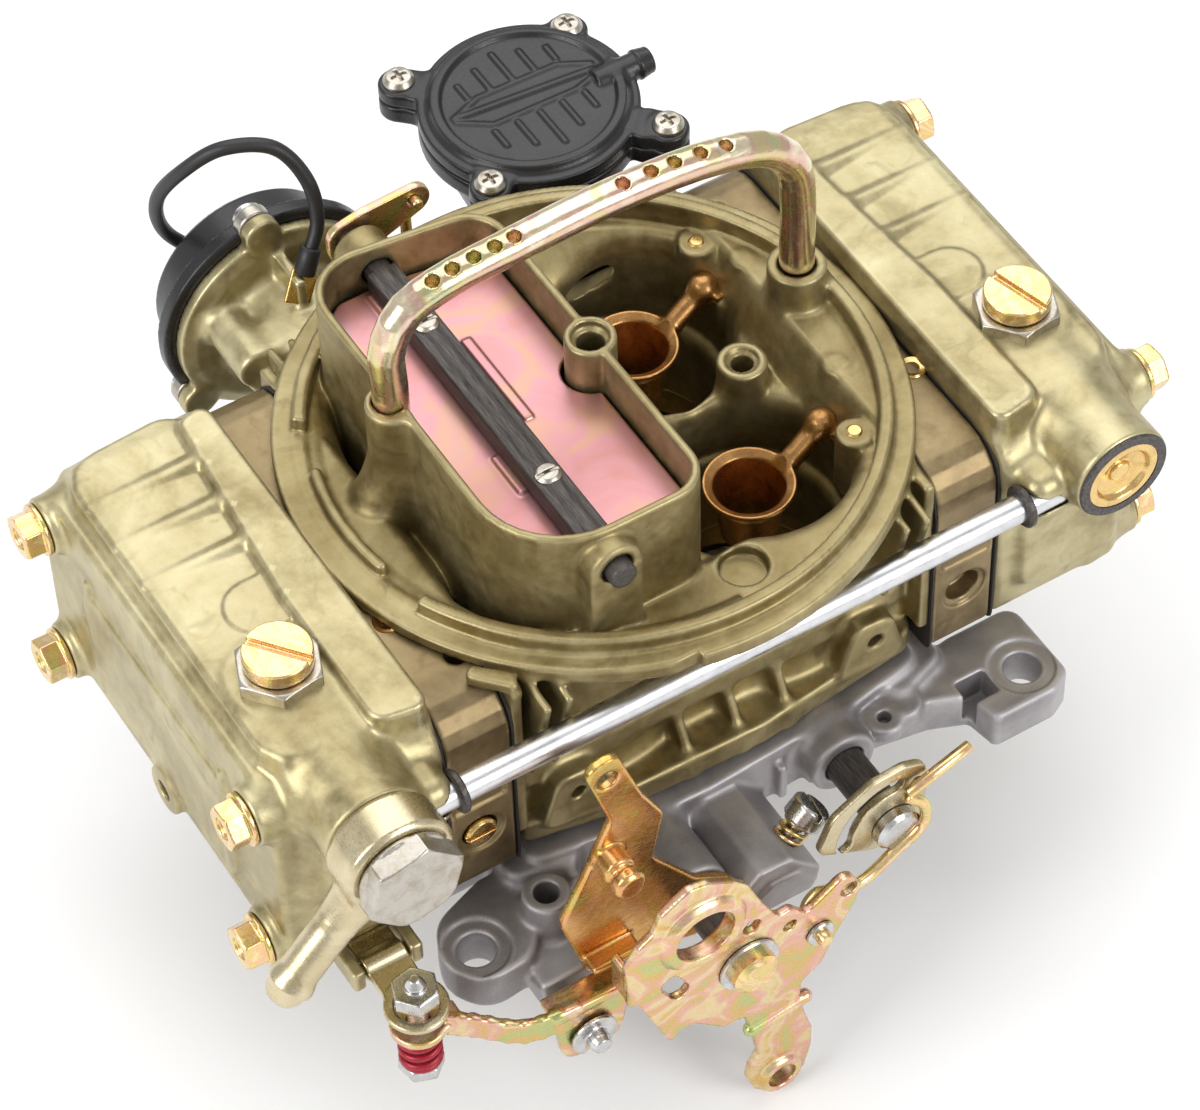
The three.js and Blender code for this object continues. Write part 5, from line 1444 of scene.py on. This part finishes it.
def throttle_lever_shape():
    edge = rounded([(*c, 2.2) for c in at_shaft(-1, *THROTTLE_EDGE)], 3)
    sheet = plate("y", edge, -99.1, -96.9, 0.45)
    big = at_shaft(-1, (-11.5, 20.7))[0]
    low = at_shaft(-1, (8.6, -49.9))[0]
    collars = [
        turned("y", big, [(7.4, -100.5), (9.4, -100.5), (10.4, -99.6), (10.4, -97), (7.4, -97)], 0.25),
        turned("y", low, [(3.6, -100.3), (4.8, -100.3), (5.4, -99.6), (5.4, -97), (3.6, -97)], 0.2)]
    ridge = rail([(a, -98.4, b) for a, b in at_shaft(-1, (1.2, -27.6), (15.4, -25.6))], 1.7)
    flange = brick((-53, -98.5, 15), (-51, -91, 25), 0.5)
    web = brick((-53, -99, 15), (-44, -96.9, 25), 0.5)
    body = join(join(sheet, flange, web, k=0.8), *collars, ridge, k=0.7)
    cuts = [drum("y", big, 7.2, -110, -90, 0.1), drum("y", low, 3.5, -110, -90, 0.1)]
    for x, z, r in ((1, 12.5, 2.2), (10.8, 5.5, 1.7), (26, 7.5, 2.2)):
        cuts.append(drum("y", at_shaft(-1, (x, z))[0], r, -110, -90, 0.1))
    slot = [(a, -98, b) for a, b in at_shaft(-1, (-19.6, 7.2), (-17.2, 2.6))]
    cuts.append(rail([(slot[0][0], -98, slot[0][2]), (slot[1][0], -98, slot[1][2])], 2.5))
    cuts.append(drum("y", (-SHAFT_X, SHAFT_Z), 4.95, -110, -90, 0.1))
    return carve(body, *cuts, k=0.3)


casting("throttle_arm", throttle_lever_shape(), (-55, -101.5, -49), (7, -90, 48), 0.4, "lever",
    body="primary_throttle", slot="iridescent_zinc", stands_for=["throttle_lever"])
for name, (x, z), r in (("hub", (0, 0), 7.4), ("link", (18.4, -2.5), 3.4)):
    (cx, cz), = at_shaft(-1, (x, z))
    piece(f"throttle_arm_washer_{name}",
        turned_mesh("washer", "y", (cx, cz),
            [(0, -100.2), (r - 0.3, -100.2), (r, -99.9), (r, -99.3), (0, -99.3)], 30), "steel",
        body="primary_throttle")
    piece(f"throttle_arm_pin_{name}",
        turned_mesh("pin", "y", (cx, cz),
            [(0, -103.8 if name == "hub" else -102.4), (r * 0.45, -102.2), (r * 0.55, -101.4),
                (r * 0.55, -99.6), (0, -99.6)], 24), "zinc_gold", body="primary_throttle")

LINK_WAY = [(-5.1, -96.4, 6.5), (-4.7, -93, 6.7), (-1.1, -91, 7.5), (12, -89.2, 0), (22, -88.5, 4),
    (29, -88.5, 9), (29, -88.5, 16), (25, -87.4, 20.5)]
piece("secondary_link_rod", rod_mesh("secondary_link_rod", smooth_way(LINK_WAY, 80), 1.4, 14),
    "zinc_gold", body="link", slot="iridescent_zinc", stands_for=["throttle_link"])
piece("secondary_link_tail", rod_mesh("secondary_link_tail",
        [(25.3, -87.2, 20.7), (34, -86.6, 22.9), (42.5, -86, 25)], 1.4, 14), "zinc_gold", body="link")

QUADRANT_EDGE = [(-20, 2, 3), (-16.2, 11.9, 6), (-5.7, 18, 5), (2.7, 18.6, 5), (7.8, 16.3, 4),
    (9.5, 10.1, 4), (7.3, -1.9, 5), (4.9, -6.2, 3), (-5, -6.6, 5)]
quadrant = carve(plate("y", rounded(at_shaft(1, *QUADRANT_EDGE)), -85, -83, 0.4),
    plate("y", arc_slot(SHAFT_X, SHAFT_Z, 13, 2.1, 88, 178), -90, -80, 0.05),
    drum("y", (SHAFT_X, SHAFT_Z), 4.9, -90, -80, 0.1),
    drum("y", at_shaft(1, (5.7, 11.2))[0], 1.4, -90, -80, 0.1), k=0.3)
casting("secondary_quadrant", quadrant, (2, -85.6, 1), (34.5, -82.4, 29), 0.36, "banjo",
    body="secondary_throttle", slot="iridescent_zinc", stands_for=["secondary_lever"])

KICKDOWN_EDGE = [(-52, 76, 3), (-44, 78, 3), (-38, 60, 4), (-33, 50, 4), (-36, 36, 4), (-25, 20, 6),
    (-15, 13, 5), (-15, 3, 5), (-25, -1, 4), (-40, 4, 4), (-53, 6, 3), (-59, 28, 5), (-53, 40, 4),
    (-46, 56, 4)]


def kickdown_shape():
    sheet = plate("y", rounded(KICKDOWN_EDGE), -81.2, -79, 0.45)
    pin = turned("y", (-47, 45), [(0, -80), (3.6, -80), (3.6, -86), (2.6, -86.6), (2.6, -87.6),
            (3.6, -88.2), (3.6, -90.2), (2.8, -91), (0, -91)], 0.1)
    lug = brick((-54, -86, 11.4), (-42, -79.5, 13.5), 0.5)
    return carve(join(sheet, pin, lug, k=0.9), drum("y", (-SHAFT_X, SHAFT_Z), 5.0, -90, -70, 0.1),
        drum("y", (-46.5, 71), 2.6, -90, -70, 0.1), k=0.35)


casting("kickdown_arm", kickdown_shape(), (-60, -92, -2), (-13, -78, 79), 0.46, "copper_lever",
    body="kickdown", slot="iridescent_zinc", stands_for=["kickdown_lever"])


# ---------------------------------------------------------------- idle speed screw and accelerator pump
def on_idle(distance):
    return tuple(IDLE + IDLE_WAY * distance)


head = carve(tilted(turned("z", STUD, [(0, 14), (4.2, 14), (4.6, 14.5), (4.6, 18.5), (4.1, 19), (0, 19)],
            0.05), tuple(IDLE), IDLE_WAY, (0, 1, 0)),
    tilted(brick((-6, -0.6, 17.2), (6, 0.6, 22), 0.1), tuple(IDLE), IDLE_WAY, (0.2, 1, -0.2)), k=0.2)
casting("idle_speed_screw", join(head, rail([on_idle(-12), on_idle(14)], 1.9)), (-16, -82, -8),
    (14, -70, 21), 0.3, "steel", slot="zinc_steel", stands_for=["idle_screw"])
piece("idle_speed_spring", spring_mesh("idle_speed_spring", on_idle(7.5), on_idle(14), 3.1, 0.55, 5),
    "zinc_gold")


def pump_arm_shape():
    x, z = PUMP_PIN
    face = plate("y", rounded([(x - 7, z - 7, 5), (x + 7, z - 7, 5), (x + 11, z + 11, 2),
                (x - 9, z + 11, 2)]), -89, -87, 0.4)
    shelf = brick((x - 9, -89, 6), (x + 11, -82.5, 8), 0.45)
    way = smooth_way([(-60, -88, 5), (-72, -86, 5), (-80, -79, 5), (-84.5, -75.5, 5)], 8)
    strip = []
    for (ax, ay, _), (bx, by, _) in zip(way, way[1:]):
        span = math.hypot(bx - ax, by - ay) / 2
        strip.append(tilted(brick((-3.5, -0.9, -span - 0.6), (3.5, 0.9, span + 0.6), 0.4),
                ((ax + bx) / 2, (ay + by) / 2, 5), (bx - ax, by - ay, 0), (0, 0, 1)))
    tab = join(drum("z", PUMP_BOLT, 6.4, 4, 6, 0.4), brick((-89, -77, 4), (-81, -71, 6), 0.4), k=0.8)
    return carve(join(face, shelf, *strip, tab, k=0.9), drum("y", PUMP_PIN, 3.1, -95, -80, 0.1),
        drum("z", PUMP_BOLT, 2.7, 0, 10, 0.1), k=0.3)


casting("pump_actuating_arm", pump_arm_shape(), (-97.5, -90, -11), (-45, -65, 10), 0.42, "lever",
    body="pump_linkage", slot="iridescent_zinc", stands_for=["pump_arm"])
pin = [(0, -66), (2.6, -66), (2.6, -92.6), (2.0, -94), (0, -94)]
clip = carve(drum("y", PUMP_PIN, 5.6, -90.6, -89.6, 0.2),
    brick((-59.4, -92, -12), (-54.6, -88, -4.4), 0.3), k=0.2)
casting("pump_arm_pin", join(turned("y", PUMP_PIN, pin, 0.0), clip, k=0.2), (-63.5, -95, -9.5),
    (-50.5, -65, 3.5), 0.34, "steel", slot="zinc_steel", stands_for=["pump_pin"])
stem = turned("z", PUMP_BOLT, [(0, -9), (2.3, -9), (2.3, 20), (1.2, 22), (0, 22)], 0.0)
bolt = join(stem, hex_prism("z", PUMP_BOLT, 9.5, 14.7, 18.9, 0.7, turn=10),
    hex_prism("z", PUMP_BOLT, 9, -11, -7.6, 0.7, turn=40), k=0.2)
casting("pump_adjusting_bolt", bolt, (-96, -78, -11.5), (-84, -66, 22.5), 0.32, "steel", body="pump_linkage",
        slot="zinc_steel", stands_for=["pump_bolt"])
piece("pump_override_spring", spring_mesh("pump_override_spring", (*PUMP_BOLT, -7), (*PUMP_BOLT, 3.4),
        4.1, 0.9, 5), "red", body="pump_linkage")


def pump_lever_shape():
    ring = drum("z", PUMP_BOLT, 7.2, 11, 12.6, 0.4)
    strap = brick((-95, -70, 11), (-85, -50, 12.6), 0.4)
    inner = join(brick((-95, -51, 6.8), (-85, -34, 8.4), 0.4),
        brick((-95, -51, 6.8), (-85, -49.4, 12.6), 0.4), k=0.4)
    barrel = drum("x", (-57.5, 11.2), 2.8, -95, -85, 0.4)
    return carve(join(ring, strap, inner, barrel, k=0.8), drum("z", PUMP_BOLT, 4.8, 5, 20, 0.1),
        drum("x", (-57.5, 11.2), 1.5, -100, -80, 0.1), k=0.3)


casting("pump_diaphragm_arm", pump_lever_shape(), (-97.8, -80, 6.2), (-82.3, -33, 14.5), 0.36, "banjo",
    body="pump_diaphragm_lever", slot="brass", stands_for=["pump_lever"])


def pump_cover_shape():
    disc = turned("z", (-90, -33), [(0, 12.6), (9, 12.6), (10, 11.6), (14.6, 11.6), (15.4, 12.4),
            (15.4, 14.6), (0, 14.6)], 0.1)
    ears = [brick((x0, -60.5, 8.4), (x0 + 3, -44, 14.4), 0.8) for x0 in (-98.6, -84.4)]
    screws = [drum("z", (-90 + 11.6 * math.cos(a), -33 + 11.6 * math.sin(a)), 3.3, 11.2, 14, 0.4)
        for a in map(math.radians, (45, 135, 225, 315))]
    return join(disc, *ears, *screws, drum("x", (-57.5, 11.2), 1.3, -97, -83, 0.2), k=0.6)


casting("pump_chamber_cover", pump_cover_shape(), (-106, -61, 8), (-74, -17, 15), 0.46, "bowl_cast",
    slot="gold_cast", stands_for=["pump_cover"])

dress("gasket", "base_gasket", *[f"{end}_{where}_gasket" for end, _ in ENDS for where in ("block", "bowl")])
dress("float", "primary_float", "secondary_float")
dress("brass", *[f"{end}_plate_{side}" for end, _ in ENDS for side in ("left", "right")])


# ---------------------------------------------------------------- floor and light
def set_stage():
    bpy.ops.mesh.primitive_plane_add(size=6, location=(0, 0, floor_height()))
    floor = bpy.context.object
    floor.name = "floor"
    paper = Finish("pale_paper")
    tooth = paper.noise(0.4, 2.0)
    floor.data.materials.append(paper.done(base_color=(0.86, 0.86, 0.86), roughness=0.9,
            normal=paper.bump(tooth, 0.01, 0.1)))
    world = bpy.data.worlds.new("studio")
    world.use_nodes = True
    world.node_tree.nodes["Background"].inputs[0].default_value = (1, 1, 1, 1)
    world.node_tree.nodes["Background"].inputs[1].default_value = 0.6
    bpy.context.scene.world = world
    for name, place, aim, size, power in (
        ("overhead", (0.25, 0.55, 1.25), (0, 0, 0.05), 1.5, 13),
        ("left", (-1.2, -0.1, 0.75), (0, 0, 0.05), 0.8, 11),
        ("front", (0.5, -1.3, 0.8), (0, 0, 0.05), 0.8, 12),
    ):
        light = bpy.data.lights.new(name, "AREA")
        light.size = size
        light.energy = power
        lamp = bpy.data.objects.new(name, light)
        lamp.location = place
        lamp.rotation_euler = (Vector(aim) - Vector(place)).to_track_quat("-Z", "Y").to_euler()
        bpy.context.scene.collection.objects.link(lamp)
    bpy.context.scene.view_settings.view_transform = "Standard"


def floor_height():
    return cad_box[0][2] - 0.0005


set_camera()
set_stage()
